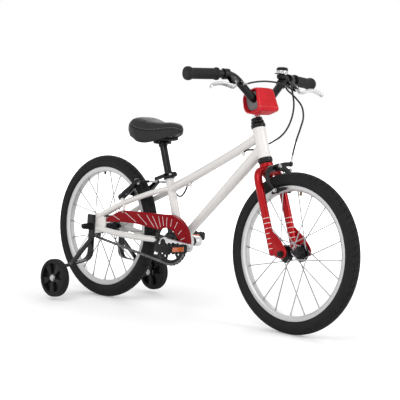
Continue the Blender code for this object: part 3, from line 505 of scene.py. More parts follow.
def rubber_compound(name, colour, rough=0.8):
    """Rubber: matt, with mottled bloom and a fine pitted face."""
    look = new_look(name, colour, rough, Specular_IOR_Level=0.15)
    bloom = noise(look, 45, 6)
    pale = [c * 1.6 + 0.002 for c in colour]
    into(look, "Base Color", blended(look, spread(look, bloom, 0, 1, 0.35, 0.75), colour, pale))
    into(look, "Roughness", spread(look, bloom, rough - 0.12, min(rough + 0.1, 1)))
    raised(look, noise(look, 1400, 3), 0.5, 0.00015)
    return look


def grained_vinyl(name, colour, rough, scale=650, depth=0.0002, coat=0.0, shine=0.25):
    """Vinyl with a leather grain: raised cells with creases between them."""
    look = new_look(name, colour, rough, Specular_IOR_Level=shine, Coat_Weight=coat, Coat_Roughness=0.2)
    varied(look, colour, 0.12, 18, (rough * 0.85, min(rough * 1.2, 1)))
    wobble = add_node(look, "ShaderNodeTexNoise", {"Vector": place_of(look), "Scale": 90.0})
    shifted = add_node(
        look,
        "ShaderNodeVectorMath",
        {0: wobble.outputs["Color"], 1: (0.004, 0.004, 0.004), 2: place_of(look)},
        operation="MULTIPLY_ADD",
    )
    inputs = {"Vector": shifted.outputs[0], "Scale": scale}
    cells = add_node(look, "ShaderNodeTexVoronoi", inputs, feature="DISTANCE_TO_EDGE")
    raised(look, spread(look, cells.outputs["Distance"], 0, 1, 0.0, 0.25), 0.5, depth)
    return look


def bare_metal(name, colour, rough, streak=(40, 40, 900), amount=0.1):
    """Bare metal: streaks from brushing or drawing, and slow changes of gloss."""
    look = new_look(name, colour, rough, 1.0)
    varied(look, colour, amount, 30)
    inputs = {"Vector": place_of(look), "Scale": streak}
    drawn = add_node(look, "ShaderNodeMapping", inputs).outputs["Vector"]
    lines = noise(look, 1.0, 4, drawn)
    into(look, "Roughness", spread(look, lines, rough * 0.75, min(rough * 1.3, 1)))
    raised(look, lines, 0.12, 0.00006)
    return look


def turned_metal(name, colour, rough, centre):
    """Metal brushed round a wheel: noise read along the distance from the hub."""
    look = new_look(name, colour, rough, 1.0)
    kind = "ShaderNodeVectorMath"
    from_hub = add_node(look, kind, {0: place_of(look), 1: centre}, operation="SUBTRACT")
    flat = add_node(look, kind, {0: from_hub.outputs[0], 1: (1, 0, 1)}, operation="MULTIPLY")
    reach = add_node(look, kind, {0: flat.outputs[0]}, operation="LENGTH")
    along = add_node(look, "ShaderNodeCombineXYZ", {0: reach.outputs["Value"]}).outputs[0]
    lines = noise(look, 2400, 2, along)
    varied(look, colour, 0.05, 9)
    into(look, "Roughness", spread(look, lines, rough * 0.7, rough * 1.35))
    raised(look, lines, 0.15, 0.00005)
    return look


def reflector_plastic(colour):
    """Clear coloured plastic over a field of small corner prisms."""
    look = new_look("reflector_orange", colour, 0.12, Coat_Weight=0.8, Coat_Roughness=0.03)
    inputs = {"Vector": place_of(look), "Scale": 420.0, "Randomness": 0.15}
    cells = add_node(look, "ShaderNodeTexVoronoi", inputs)
    deep = [c * 0.55 for c in colour]
    share = spread(look, cells.outputs["Distance"], 0, 1, 0.1, 0.6)
    into(look, "Base Color", blended(look, share, colour, deep))
    raised(look, cells.outputs["Distance"], 0.5, 0.0004)
    return look


def make_looks(colours):
    """Every finish of the bike, by name."""
    black = tuple(colours.black)
    rubber = tuple(colours.rubber)
    silver = tuple(colours.silver)
    satin = tuple(c * 0.86 for c in silver)
    return {
        "pearl": pearl_paint(tuple(colours.frame)),
        "candy": candy_paint(tuple(colours.fork)),
        "guard": moulded_plastic("guard_red", tuple(colours.guard), 0.35, 260, 0.0001, 0.04, 0.05),
        "pad": grained_vinyl("pad_vinyl", tuple(colours.pad), 0.45, 900, 0.00012, 0.04, 0.05),
        "foam": moulded_plastic("grey_foam", (0.2, 0.2, 0.2), 0.9, 700, 0.0006, 0, 0.05),
        # The pad's stitching thread is paler than its real dark red: part thread colour, part a painted
        # highlight along the seams.
        "pale_thread_painted_highlight": moulded_plastic("pale_thread_painted_highlight", (0.75, 0.2, 0.2), 0.6, 1500, 0.00005),
        "line": moulded_plastic("white_print", (0.82, 0.74, 0.72), 0.45, 900, 0.00002),
        "tyre": rubber_compound("tyre_rubber", rubber, 0.72),
        "grip": rubber_compound("grip_rubber", tuple(c * 1.1 for c in rubber), 0.62),
        "housing": moulded_plastic("cable_housing", black, 0.35, 700, 0.00004),
        "plastic": moulded_plastic("black_plastic", black, 0.4, 420, 0.00012, 0, 0.16),
        "gloss": moulded_plastic("black_enamel", black, 0.25, 160, 0.00005, 0.15, 0.12),
        "vinyl": grained_vinyl("saddle_vinyl", tuple(colours.saddle), 0.5, 620, 0.00022),
        "alloy": bare_metal("polished_alloy", silver, 0.26),
        "cast": bare_metal("cast_alloy", tuple(c * 0.92 for c in silver), 0.34, (200, 200, 260)),
        "chrome": bare_metal("bell_chrome", (0.52, 0.52, 0.53), 0.14, (20, 20, 60), 0.03),
        "steel": bare_metal("oiled_steel", (0.14, 0.14, 0.145), 0.42, (300, 300, 300), 0.25),
        "zinc": bare_metal("zinc_plate", (0.40, 0.40, 0.41), 0.3, (300, 300, 300), 0.15),
        "wire": bare_metal("spoke_wire", (0.34, 0.34, 0.35), 0.35, (200, 200, 200), 0.1),
        "brass": bare_metal("aged_brass", (0.20, 0.13, 0.07), 0.4, (300, 300, 300), 0.15),
        "front_rim": turned_metal("front_rim_alloy", satin, 0.48, (0.3815, 0, 0.2183)),
        "rear_rim": turned_metal("rear_rim_alloy", satin, 0.48, (-0.3815, 0, 0.2183)),
        "reflector": reflector_plastic((0.85, 0.16, 0.01)),
        "thread": moulded_plastic("stitch_thread", (0.3, 0.3, 0.31), 0.7, 1500, 0.00005),
    }


LOOKS = {}


def add_piece(name, shapes, look, body, replaces=(), sharp=38.0):
    """One object from several surfaces: doubles merged, faces turned outwards, in metres."""
    start, faces = 0, []
    for points, quads in shapes:
        if isinstance(quads, np.ndarray):
            faces += (quads + start).tolist()
        else:
            faces += [[corner + start for corner in face] for face in quads]
        start += len(points)
    points = np.vstack([shape[0] for shape in shapes]) - (WHEELBASE / 2, 0, 0)
    mesh = bpy.data.meshes.new(name)
    mesh.from_pydata(points * MM, [], faces)
    bm = bmesh.new()
    bm.from_mesh(mesh)
    bmesh.ops.remove_doubles(bm, verts=bm.verts, dist=2e-6)
    bmesh.ops.dissolve_degenerate(bm, edges=bm.edges, dist=1e-6)
    bmesh.ops.recalc_face_normals(bm, faces=bm.faces)
    bm.to_mesh(mesh)
    bm.free()
    mesh.shade_smooth()
    mesh.set_sharp_from_angle(angle=math.radians(sharp))
    mesh.materials.append(LOOKS[look])
    item = bpy.data.objects.new(name, mesh)
    bpy.context.scene.collection.objects.link(item)
    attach(item, body)
    if replaces:
        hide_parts(*replaces)
    return item


# Wheels


TREAD_STEPS = np.array((0, 0.03, 0.1, 0.13, 0.3, 0.5, 0.53, 0.6, 0.63, 0.8))
LANES = np.array(
    (0, 6, 10.5, 11.5, 13.5, 14.5, 20, 26, 31.5, 32.5, 34.5, 35.5, 40, 46, 51, 53, 55, 58)
    + (64, 70, 73, 74, 77, 78, 84, 92, 100, 108, 114, 118)
)


def tyre_surface(hub, blocks):
    """A tyre: r = m + (s - d) cos t, y = (s - d) sin t, with d the depth of its tread's grooves.

    Grooves run round between three lanes of blocks, and across between the blocks of a lane,
    by turns at the first and the second half of the pitch. The grid leans into a chevron.
    """
    middle, section = 197.9, 20.9
    lanes = np.concatenate((-LANES[:0:-1], LANES))
    wide = np.abs(lanes)
    depth = np.where(((wide > 11) & (wide < 14)) | ((wide > 32) & (wide < 35)), 2.0, 0.0)
    depth = np.where(wide > 52, 1.6, depth)
    depth = np.where((wide > 73.5) & (wide < 77.5), 0.5, depth)
    step = np.arange(len(TREAD_STEPS))
    early, late = (step == 1) | (step == 2), (step == 6) | (step == 7)
    centre_lane, middle_lane = wide < 11, (wide > 14) & (wide < 32)
    outer_lane = (wide > 35) & (wide < 54)
    across = early[:, None] & (centre_lane | outer_lane) | late[:, None] & middle_lane
    depth = np.maximum(depth[None, :], np.where(across, 2.0, 0.0))
    depth = np.tile(depth, (blocks, 1))
    pitch = 2 * math.pi / blocks
    turn = ((np.arange(blocks)[:, None] + TREAD_STEPS) * pitch).ravel()[:, None]
    turn = turn + pitch * 0.35 * np.minimum(wide, 55)[None, :] / 20
    t = np.radians(lanes)
    r = middle + (section - depth) * np.cos(t)
    y = (section - depth) * np.sin(t)
    bead = np.array([(184.6, 13.2), (183.2, 9.9), (179, 9.5)])
    bead = np.vstack((bead, (bead * (1, -1))[::-1]))
    r = np.hstack((r, np.tile(bead[:, 0], (len(r), 1))))
    y = np.hstack((y, np.tile(bead[:, 1], (len(y), 1))))
    turn = np.hstack((turn, np.repeat(turn[:, -1:], len(bead), 1)))
    points = np.stack((r * np.cos(turn), y, r * np.sin(turn)), -1)
    return grid(np.asarray(hub) + points, wrap_rows=True)


def around_hub(hub, radius, angle, y):
    """A point at a radius and angle in the wheel's plane and a height along the axle."""
    return np.array((hub[0] + radius * math.cos(angle), y, hub[2] + radius * math.sin(angle)))


def laced(hub, spokes, rim_radius):
    """Spokes with bent heads and their nipples, crossing each other between hub and rim."""
    wires, nipples = [], []
    for i in range(spokes):
        side = 1 if i % 2 else -1
        lead = 1 if (i // 2) % 2 else -1
        rim_turn = 2 * math.pi * i / spokes
        hub_turn = rim_turn + lead * math.radians(48)
        head = around_hub(hub, 20, hub_turn, side * (32 - 2.6 * lead))
        bend = around_hub(hub, 20, hub_turn, side * (32 + 2.7 * lead))
        foot = around_hub(hub, rim_radius, rim_turn, side * 1.5)
        out = unit(foot - bend)
        path = eased([head, bend, foot - out * 9], [0, 2.2, 0], 4)
        wires.append(swept(path, circle(1.5, 8)))
        wires.append(rod(head - LEFT * side * lead * 0.9, head + LEFT * side * lead * 0.2, 1.9, 0.5, 12))
        screw = [(0, -11), (1.7, -11), (1.9, -10), (1.9, -4), (2.3, -3), (2.3, 0.5), (0, 0.5)]
        nipples.append(spun(eased(screw, 0.3, 2), foot, out, 12))
    return wires, nipples


def build_wheel(word, hub, half_hub, sizes, valve):
    """Tyre, rim, hub shell, spokes, nipples and valve of one wheel.

    The valve is given by its angle, its look and its length.
    """
    valve_turn, valve_look, top = valve
    body = word + "_wheel"
    tyre = tyre_surface(hub, sizes.tread_blocks)
    add_piece(word + "_tyre_tread", [tyre], "tyre", body, [word + "_tyre"], 30)

    wall = [(168, 6.6), (169.5, 9.6), (174.5, 12.2), (183, 12.4), (183, 10.3), (177.8, 9.7), (176.6, 6)]
    shapes = [turned(both_ways(wall), 0.9, 3, hub, LEFT, 180)]
    for y in (-12.35, 12.35):
        track = [(177.4, y * 1.001), (178, y * 1.012), (178.6, y * 1.001), (178, y * 0.99)]
        shapes.append(spun(track, hub, LEFT, 180, loop=True))
    for i in range(sizes.spokes):
        turn = 2 * math.pi * i / sizes.spokes
        eye = around_hub(hub, RIM_BED + 0.4, turn, (1 if i % 2 else -1) * 1.5)
        inward = unit(np.array((hub[0], eye[1], hub[2])) - eye)
        ring = [(2.3, -0.6), (3.7, -0.6), (3.7, 0.3), (2.3, 0.5)]
        shapes.append(turned(ring, 0.3, 2, eye, inward, 14))
    add_piece(word + "_rim_shell", shapes, word + "_rim", body, [word + "_rim"])

    shell = [(5.2, half_hub), (8.6, half_hub), (8.8, 37 if half_hub > 37 else 36), (12, 35.4)]
    shell += [(23.2, 34.2), (24.2, 33.4), (24.2, 30.8), (23.2, 30), (13.5, 28.6), (10.8, 24), (9.8, 14)]
    shapes = [turned(both_ways(shell), 0.8, 3, hub, LEFT, 64)]
    for y in (-1, 1):
        groove = [(9.7, y * 6), (10.6, y * 7), (10.6, y * 9), (9.7, y * 10)]
        shapes.append(turned(groove, 0.4, 2, hub, LEFT, 48))
    spokes, nipples = laced(hub, sizes.spokes, RIM_BED)
    node = word + "_hub_and_spokes"
    add_piece(word + "_hub_shell", shapes, "gloss", body, [node])
    add_piece(word + "_spokes", spokes, "wire", body, [node])
    add_piece(word + "_spoke_nipples", nipples, "zinc", body, [node])

    foot = around_hub(hub, RIM_BED + 1, valve_turn, 0)
    inward = unit(hub - foot)
    stem = [(0, -1), (4.2, -1), (4, 1.5), (3.1, 3), (2.9, top / 2), (0, top / 2)]
    cap = [(0, top / 2 - 0.5), (3.3, top / 2 - 0.5), (3.3, top - 1.5), (2.6, top), (0, top)]
    shapes = [spun(eased(part, 0.5, 3), foot, inward, 20) for part in (stem, cap)]
    first, second, _ = square_to(inward)
    for k in range(10):
        turn = 2 * math.pi * k / 10
        spot = foot + first * 3.3 * math.cos(turn) + second * 3.3 * math.sin(turn)
        shapes.append(rod(spot + inward * (top / 2 + 0.2), spot + inward * (top - 2), 0.35, 0.1, 6))
    add_piece(word + "_valve", shapes, valve_look, body)


def build_axles():
    """The front axle with its washers, nuts and cones, and the rear axle with domed caps."""
    shapes, caps = [], []
    cone = [(4, 0), (7.4, 0), (7.4, 3.2), (6, 4.2), (4, 4.2)]
    washer = [(4, 0), (9.4, 0), (9.4, 1.4), (8.8, 1.8), (4, 1.8)]
    dome = [(0, 64.8), (12.2, 64.8), (12.4, 67.2), (10.8, 68.4), (10.4, 72), (9.4, 84)]
    dome = eased(dome + [(8.6, 96), (6.8, 100.4), (0, 101.2)], [0, 0.4, 0.4, 1, 1, 4, 4, 3, 0], 4)
    for out in (-LEFT, LEFT):
        shapes += [
            rod(FRONT_HUB + out * 39, FRONT_HUB + out * 50, 4.7, 0.3, 24),
            hexagon(FRONT_HUB + out * 44.6, out, 13.6, 4.6),
            turned(cone, 0.3, 2, FRONT_HUB + out * 40.4, out, 32),
            turned(washer, 0.25, 2, FRONT_HUB + out * 54.1, out, 36),
            hexagon(FRONT_HUB + out * 55.9, out, 15, 6.2, 0.8),
            rod(FRONT_HUB + out * 53, FRONT_HUB + out * 62.5, 4.6, 0.3, 24),
            screw_thread(FRONT_HUB + out * 61.5, FRONT_HUB + out * 65.6, 4.4),
        ]
        for spot in spaced(FRONT_HUB, 8.9, 18):
            shapes.append(rod(spot + out * 54.3, spot + out * 55.7, 0.6, 0.1, 6))
        caps += [
            turned(hoop(4.8, 7.6, 51.4, 54.6), 0.3, 2, REAR_HUB, out, 32),
            rod(REAR_HUB, REAR_HUB + out * 66, 4.7, 0.3, 24),
            spun(dome, REAR_HUB, out, 40),
        ]
        for start, end in zip(spaced(REAR_HUB, 10.2, 6), spaced(REAR_HUB, 8.4, 6)):
            caps.append(rod(start + out * 69, end + out * 92, 0.9, 0.5, 8))
    add_piece("front_axle_and_nuts", shapes, "gloss", "steering", ["front_axle"])
    add_piece("rear_axle_caps", caps, "plastic", "frame", ["rear_axle"])


def cog_outline(teeth, radius):
    """A sprocket's edge: rounded tips and round valleys, one of each a pitch."""
    step = 2 * math.pi / teeth
    turns = np.array((0, 0.07, 0.16, 0.28, 0.38, 0.5, 0.62, 0.72, 0.84, 0.93))
    reach = np.array((4.6, 4.4, 3.0, 0.1, -2.6, -3.6, -2.6, 0.1, 3.0, 4.4))
    turn = ((np.arange(teeth)[:, None] + turns + 0.5) * step).ravel()
    reach = radius + np.tile(reach, teeth)
    return np.column_stack((reach * np.cos(turn), reach * np.sin(turn)))


def build_freewheel():
    """The freewheel: a toothed ring on a turned body with the tool's notches."""
    place = REAR_HUB + LEFT * CHAIN_Y
    ring = plate([cog_outline(16, COG_RADIUS), circle(21, 40)], 2.2, 0.35, place, SIDE_VIEW)
    body = [(7, -4.9), (20.6, -4.9), (22, -3.4), (22, 3.4), (20.6, 4.6), (14.5, 4.9), (13.5, 3.4)]
    body += [(8, 3.4), (7, 3.4)]
    shapes = [ring, turned(body, 0.5, 3, place, -LEFT, 48)]
    for spot in spaced(place, 11, 4, 0.4):
        away = unit(spot - place)
        axes = np.array((away, np.cross(LEFT, away), LEFT))
        shapes.append(block((4, 3.4, 1.6), spot - LEFT * 3.6, axes, 0.3))
    add_piece("freewheel", shapes, "steel", "freewheel", ["freewheel_cog"])


# Frame


TOP_TUBE = np.array(((278.5, 0, 355.6), (617, 0, 527)))
CABLE_STOPS = np.array(((353.5, 0, 375.5), (555, 0, 477.6)))
BRAKE_FOOT = np.array((111.7, 0, 316.7))
TUBE = circle(1.0, 48)


def frame_tube(name, node, path, size, start, end, extra=()):
    """A round tube along a path, fitted to the tubes at its ends, with a weld bead at each.

    Start and end give the axis point, axis and radius of the tube that is met there.
    """
    path = np.asarray(path, float)
    rings = rings_along(path, TUBE, size, guide=LEFT)
    shapes = list(extra)
    for index, meet in ((0, start), (-1, end)):
        run = path[0] - path[1] if index == 0 else path[-1] - path[-2]
        shapes.append(weld(rings[index], run, *meet))
        rings[index] = coped(rings[index], run, meet[0], meet[1], meet[2] - 0.8)
    shapes.insert(0, lofted(rings))
    return add_piece(name, shapes, "pearl", "frame", [node])


def build_frame():
    """The frame's tubes, stays, dropouts, stops and bosses, all joined with weld beads."""
    low, high, lip = HEAD_TUBE_LOW, HEAD_TUBE_HIGH, HEAD_TUBE_RADIUS + 1
    shell = [(lip, high), (lip, high - 7), (HEAD_TUBE_RADIUS, high - 9.5)]
    shell += [(HEAD_TUBE_RADIUS, low + 9.5), (lip, low + 7), (lip, low), (14.3, low), (14.3, high)]
    head = turned(shell, 0.8, 4, HEAD_FOOT, HEAD_UP, 72)
    add_piece("frame_head_tube", [head], "pearl", "frame", ["head_tube"])

    on_head = (HEAD_FOOT, HEAD_UP, HEAD_TUBE_RADIUS)
    on_seat = (CRANK, SEAT_UP, SEAT_TUBE_RADIUS)
    on_shell = (CRANK, LEFT, CRANK_SHELL_RADIUS)
    run = unit(TOP_TUBE[1] - TOP_TUBE[0])
    rise = np.cross(LEFT, run)
    t = np.array((0, 0.06, 0.12, 0.25, 0.4, 0.55, 0.7, 0.82, 0.9, 0.95, 1))[:, None]
    path = TOP_TUBE[0] + (TOP_TUBE[1] - TOP_TUBE[0]) * t + rise * 16 * t * (1 - t)
    keep = (t[:, 0] == 0) | (t[:, 0] == 1) | ((t[:, 0] > 0.09) & (t[:, 0] < 0.93))
    cup = both_ways([(1.8, -6), (3.7, -6), (4.3, -5)])
    axes = np.array((run, LEFT, rise))
    stops = []
    for stop in CABLE_STOPS:
        stops.append(turned(cup, 0.4, 3, stop, run, 32))
        stops.append(block((9.5, 3.4, 8), stop + rise * 6.2, axes, 0.9))
    frame_tube("frame_top_tube", "top_tube", path[keep], TOP_TUBE_RADIUS, on_seat, on_head, stops)

    ends = np.array(((330, 0, 207), (628, 0, 493)), float)
    t = np.array((0, 0.09, 0.3, 0.5, 0.7, 0.9, 1))[:, None]
    path = ends[0] + (ends[1] - ends[0]) * t
    size = DOWN_TUBE_RADIUS * (0.7 + 0.3 * t[:, 0])
    frame_tube("frame_down_tube", "down_tube", path, size, on_shell, on_head)

    foot = rings_along(in_seat((0, 0, 0), (0, 0, 40)), TUBE, SEAT_TUBE_RADIUS, LEFT)[1]
    bead = weld(foot, -SEAT_UP, *on_shell)
    rings = [coped(foot, -SEAT_UP, CRANK, LEFT, 19.4)]
    wall = [(12.7, 40), (12.7, 170), (12.7, 204.6), (12.3, 205.8), (11.7, 205.8), (11.4, 205)]
    for radius, length in wall + [(11.4, 40)]:
        rings.append(rings_along(in_seat((0, 0, length), (0, 0, length + 1)), TUBE, radius, LEFT)[0])
    add_piece("frame_seat_tube", [lofted(rings), bead], "pearl", "frame", ["seat_tube"])

    wall = [(20.2, 34), (20.2, -34), (17.4, -34), (17.4, 34)]
    shell = turned(wall, 0.8, 3, CRANK, LEFT, 64)
    add_piece("frame_crank_shell", [shell], "pearl", "frame", ["bottom_bracket_shell"])
    shapes = []
    for side in (-1, 1):
        cup = [(9.2, 34.1), (19.2, 34.1), (19.4, 34.8), (19.4, 36.8), (18.6, 37.4), (13.5, 37.4)]
        cup += [(13, 36.4), (9.2, 36.4)]
        shapes.append(turned(cup, 0.3, 2, CRANK, LEFT * side, 48))
        for spot in spaced(CRANK, 18.4, 16):
            shapes.append(rod(spot + LEFT * side * 34.4, spot + LEFT * side * 37.2, 1.2, 0.3, 8))
    nodes = ["bottom_bracket_bearings"]
    add_piece("crank_bearing_cups", shapes, "gloss", "frame", nodes)
    build_stays(on_seat, on_shell)


def build_stays(on_seat, on_shell):
    """Chain stays with their dropout plates, and seat stays with the brake's bosses."""
    dropout = [(-14, 203), (-16, 225), (-6, 240), (12, 260), (30, 262), (58, 248), (59, 222)]
    dropout += [(45, 203), (10, 198)]
    dropout = eased(dropout, [3, 8, 6, 8, 8, 8, 8, 6, 6], 4, loop=True)
    hole = circle(5, 20) + (0, AXLE_Z)
    for side, word in SIDES:
        points = [(20, 57, 214), (45, 56, 212), (90, 52, 207), (170, 40, 203), (240, 31, 203)]
        points += [(272, 27, 203), (318, 25, 203.4)]
        path = flowing(np.array(points, float) * (1, side, 1), 24)
        size = np.interp(np.linspace(0, 1, 24), (0, 0.12, 0.4, 1), (7.4, 8.8, 9.1, 9.1))
        rings = rings_along(path, TUBE, size, guide=UPWARD)
        joint = weld(rings[-1], FORWARD, *on_shell, 1.8)
        rings[-1] = coped(rings[-1], FORWARD, CRANK, LEFT, 19.2)
        plates = plate([dropout, hole], 5, 0.8, (0, side * 57.6, 0), SIDE_VIEW)
        parts = [lofted(rings), plates, joint]
        name = "chain_stay_" + word
        add_piece("frame_" + name, parts, "pearl", "frame", [name])

        points = [(22, 58, 250), (120, 48, 298), (200, 37, 329)]
        points += [(240, 28, 343), (262, 14, 351), (277, 0, 355)]
        path = flowing(np.array(points, float) * (1, side, 1), 26)
        size = np.interp(np.linspace(0, 1, 26), (0, 0.1, 0.6, 1), (6.6, 8.0, 8.2, 8.0))
        rings = rings_along(path, TUBE, size, guide=UPWARD)
        run = path[-1] - path[-2]
        joint = weld(rings[-1], run, *on_seat, 1.6)
        rings[-1] = coped(rings[-1], run, CRANK, SEAT_UP, 12)
        foot = BRAKE_FOOT + LEFT * side * BRAKE_PIVOT_Y
        parts = [lofted(rings), joint]
        parts.append(rod(foot - BRAKE_OUT * 18, foot - BRAKE_OUT * 6, 6.4, 0.8))
        name = "seat_stay_" + word
        add_piece("frame_" + name, parts, "pearl", "frame", [name])
        bolt = [rod(foot - BRAKE_OUT * 6.2, foot + BRAKE_OUT * 7, 4, 0.3)]
        bolt.append(socket_bolt(foot + BRAKE_OUT * 6.3, BRAKE_OUT, 5.4, 4))
        add_piece("rear_brake_bolt_" + word, bolt, "zinc", "frame")


def build_headset():
    """The black headset cups, their lock nut, and the steerer's washers."""
    cup = [(17.2, 377), (19.6, 374), (20.3, 371.5), (20.3, 364.8), (18.8, 363), (14, 363)]
    cup += [(13, 352), (12.9, 377)]
    shapes = [turned(cup, 0.9, 4, HEAD_FOOT, HEAD_UP, 56)]
    add_piece("upper_headset", shapes, "gloss", "frame", ["upper_headset_cup"])
    cup = [(14, 288), (14, 276.4), (19.8, 276.2), (20.6, 273.5), (20.6, 267), (19, 263), (18, 261.2)]
    cup += [(13.1, 261.2), (13.1, 288)]
    shapes = [turned(cup, 0.8, 4, HEAD_FOOT, HEAD_UP, 56)]
    add_piece("lower_headset", shapes, "gloss", "frame", ["lower_headset_cup"])
    nut = [(12.9, 391.5), (14.8, 391.5), (15.6, 390.6), (15.6, 383.5), (17.6, 382), (18.4, 380.8)]
    nut += [(18.4, 378.4), (17.6, 377.4), (12.9, 377.4)]
    shapes = [turned(nut, 0.6, 3, HEAD_FOOT, HEAD_UP, 56)]
    shapes.append(hexagon(in_head((0, 0, 383.4)), HEAD_UP, 29.6, 6.6, 0.8))
    name = "headset_lock_nut"
    add_piece(name, shapes, "gloss", "steering", ["headset_top_nut"])


def build_fork():
    """The fork: crown, bent legs and dropouts, the brake's bolt, and white rings on its legs."""
    crown = [(0, 300), (12.4, 300), (12.6, 261), (18.6, 260.6), (19.2, 259), (19.2, 251), (17.2, 247)]
    crown += [(16.6, 232), (14, 224), (8, 219), (0, 218)]
    shapes = [spun(eased(crown, 1.6, 5), HEAD_FOOT, HEAD_UP, 64)]
    claw = [(6, 4), (15, -4), (28, -12.5), (42, -11), (49, -3.5), (50, 7), (44.5, 22)]
    claw += [(37.8, 37.4), (30.3, 50.3), (16, 70), (6, 82)]
    claw = eased(claw, [2, 5, 6, 5, 4, 5, 6, 6, 6, 8, 2], 4, loop=True)
    slot = belt((19, 48), 3.6, (29, 25), 3.6, 12)
    slot = beside_head(slot)
    hole = circle(5, 20) + (FORK_RAKE, 0)
    prints = []
    for side in (-1, 1):
        y = side * FORK_LEG_Y
        path = eased(in_head((0, y, 4), (0, y, 239), (0, side * 3, 239)), [0, 38, 0], 14)
        straight = in_head(*[(0, y, s) for s in (4, 5.5, 8, 14, 60, 130)])
        path = np.vstack((straight, path[1:]))
        size = np.full(len(path), FORK_LEG_RADIUS)
        size[:3] = (7.5, 9.6, 10.8)
        shapes.append(swept(path, TUBE, size, guide=HEAD_FORE))
        place = in_head((0, side * CLAW_Y, 0))
        shapes.append(plate([claw, hole], 4, 0.9, place, HEAD_SIDE_VIEW))
        shapes.append(swept(slot + LEFT * side * (CLAW_Y + 2), circle(0.8, 8), guide=LEFT, loop=True))
        place = in_head((FORK_RAKE, side * (CLAW_Y + 1), 0))
        shapes.append(turned(hoop(5, 11, -0.4, 0.9), 0.4, 2, place, LEFT * side, 36))
        joint = in_head((0, side * 30, 239), (0, side * 29, 239))
        ring = rings_along(joint, TUBE, FORK_LEG_RADIUS, HEAD_FORE)[0]
        shapes.append(weld(ring, LEFT * -side, HEAD_FOOT, HEAD_UP, 16.6, 2.2))
        for s in np.arange(22, 108, 14.0):
            band = hoop(11, 11.32, -0.8, 0.8)
            prints.append(turned(band, 0.1, 1, in_head((0, y, s)), HEAD_UP, 56))
    add_piece("fork_blades", shapes, "candy", "steering", ["fork"])
    spots = [in_head((n, 0, FRONT_BOLT)) for n in (14, 26.8, 20, 51, 44.4)]
    bolt = [rod(spots[0], spots[1], 7.6, 0.8), rod(spots[2], spots[3], 3, 0.4, 20)]
    bolt.append(hexagon(spots[4], HEAD_FORE, 11, 4.4))
    add_piece("front_brake_bolt", bolt, "zinc", "steering")
    add_piece("fork_white_rings", prints, "line", "steering")


# Handlebar


BENDS = np.array(((571.7, 254.7, 682.5), (599, 108.6, 690.1), (614, 27, 622)), float)
BAR_CORNERS = np.vstack((mirrored(BENDS), BENDS[::-1]))
BAR_RUN = unit(BENDS[0] - BENDS[1])


def on_bar(side, reach, down=0.0):
    """A point beside the bar's outer run: reach from its corner, down the lever's direction."""
    place = BENDS[1] + BAR_RUN * reach + REACH * down
    return place * (1, side, 1)


def build_bars():
    """The bent handlebar, the stem with its wedge bolt and clamp, and the ribbed grips."""
    path = eased(BAR_CORNERS, [0, 30, 26, 26, 30, 0], 12)
    bar = swept(path, circle(BAR_RADIUS, 40), guide=REACH)
    add_piece("handlebar_tube", [bar], "gloss", "steering", ["handlebar"])

    clamp = in_head((30, 0, 430))
    quill = [(0, 300), (11.1, 300), (11.1, 408), (11.6, 412), (13.6, 415), (14.2, 420), (14.2, 438)]
    quill += [(12.5, 442.5), (0, 443)]
    shapes = [spun(eased(quill, 2, 4), HEAD_FOOT, HEAD_UP, 48)]
    neck = even([in_head((2, 0, 430)), clamp], 7)
    size = np.array((12.4, 12, 11.4, 11, 11.2, 12, 13))
    shapes += [
        swept(neck, circle(1, 40), size, guide=LEFT),
        turned(hoop(11.3, 14.7, -20, 20), 1.2, 3, clamp, LEFT, 48),
        block((8, 26, 11), in_head((43.5, 0, 424)), HEAD_AXES, 1.6),
    ]
    add_piece("stem_and_clamp", shapes, "alloy", "steering", ["stem"])
    bolts = [socket_bolt(in_head((0, 0, 442.4)), HEAD_UP, 6.8, 4.4)]
    for y in (-8, 8):
        bolts.append(socket_bolt(in_head((45, y, 419)), -HEAD_UP, 3.6, 3.6))
    add_piece("stem_bolts", bolts, "zinc", "steering")

    for side, word in SIDES:
        start = on_bar(side, 49)
        run = BAR_RUN * (1, side, 1)
        h = np.arange(9, 83, 0.5)
        rib = 14.7 + 0.45 * np.abs(np.sin(h * math.pi / 4)) ** 0.6
        outer = [(11.4, 0.4), (16.6, 0), (17.3, 1), (17.3, 5.8), (16.6, 7), (15, 7.6)]
        tip = [(15.2, 83.8), (17.4, 87.5), (18.5, 90.5), (18.7, 94), (18.4, 98), (17, 101.6)]
        tip += [(14, 103), (7, 103.2), (0, 103.2)]
        profile = np.vstack((eased(outer, 0.5, 2), np.column_stack((rib, h)), eased(tip, 1, 3)))
        steps = 72
        first, second, axis = square_to(run)
        a = (np.arange(steps) * 2 * math.pi / steps)[:, None]
        flute = 1 - 0.02 * (np.cos(a * 24) > 0.2) * ((profile[:, 1] > 9) & (profile[:, 1] < 82))
        radius = (profile[None, :, 0] * flute)[..., None]
        out = first * np.cos(a)[..., None] + second * np.sin(a)[..., None]
        points = start + out * radius + axis * profile[None, :, 1:]
        shape = grid(points, wrap_rows=True, wrap_columns=False)
        add_piece("ribbed_grip_" + word, [shape], "grip", "steering", ["grip_" + word])


def lever_exit(side, y=88.7):
    """Where a housing leaves its lever's barrel, or a point straight on from there."""
    barrel = on_bar(side, -3, 38)
    return np.array((barrel[0], side * y, barrel[2]))


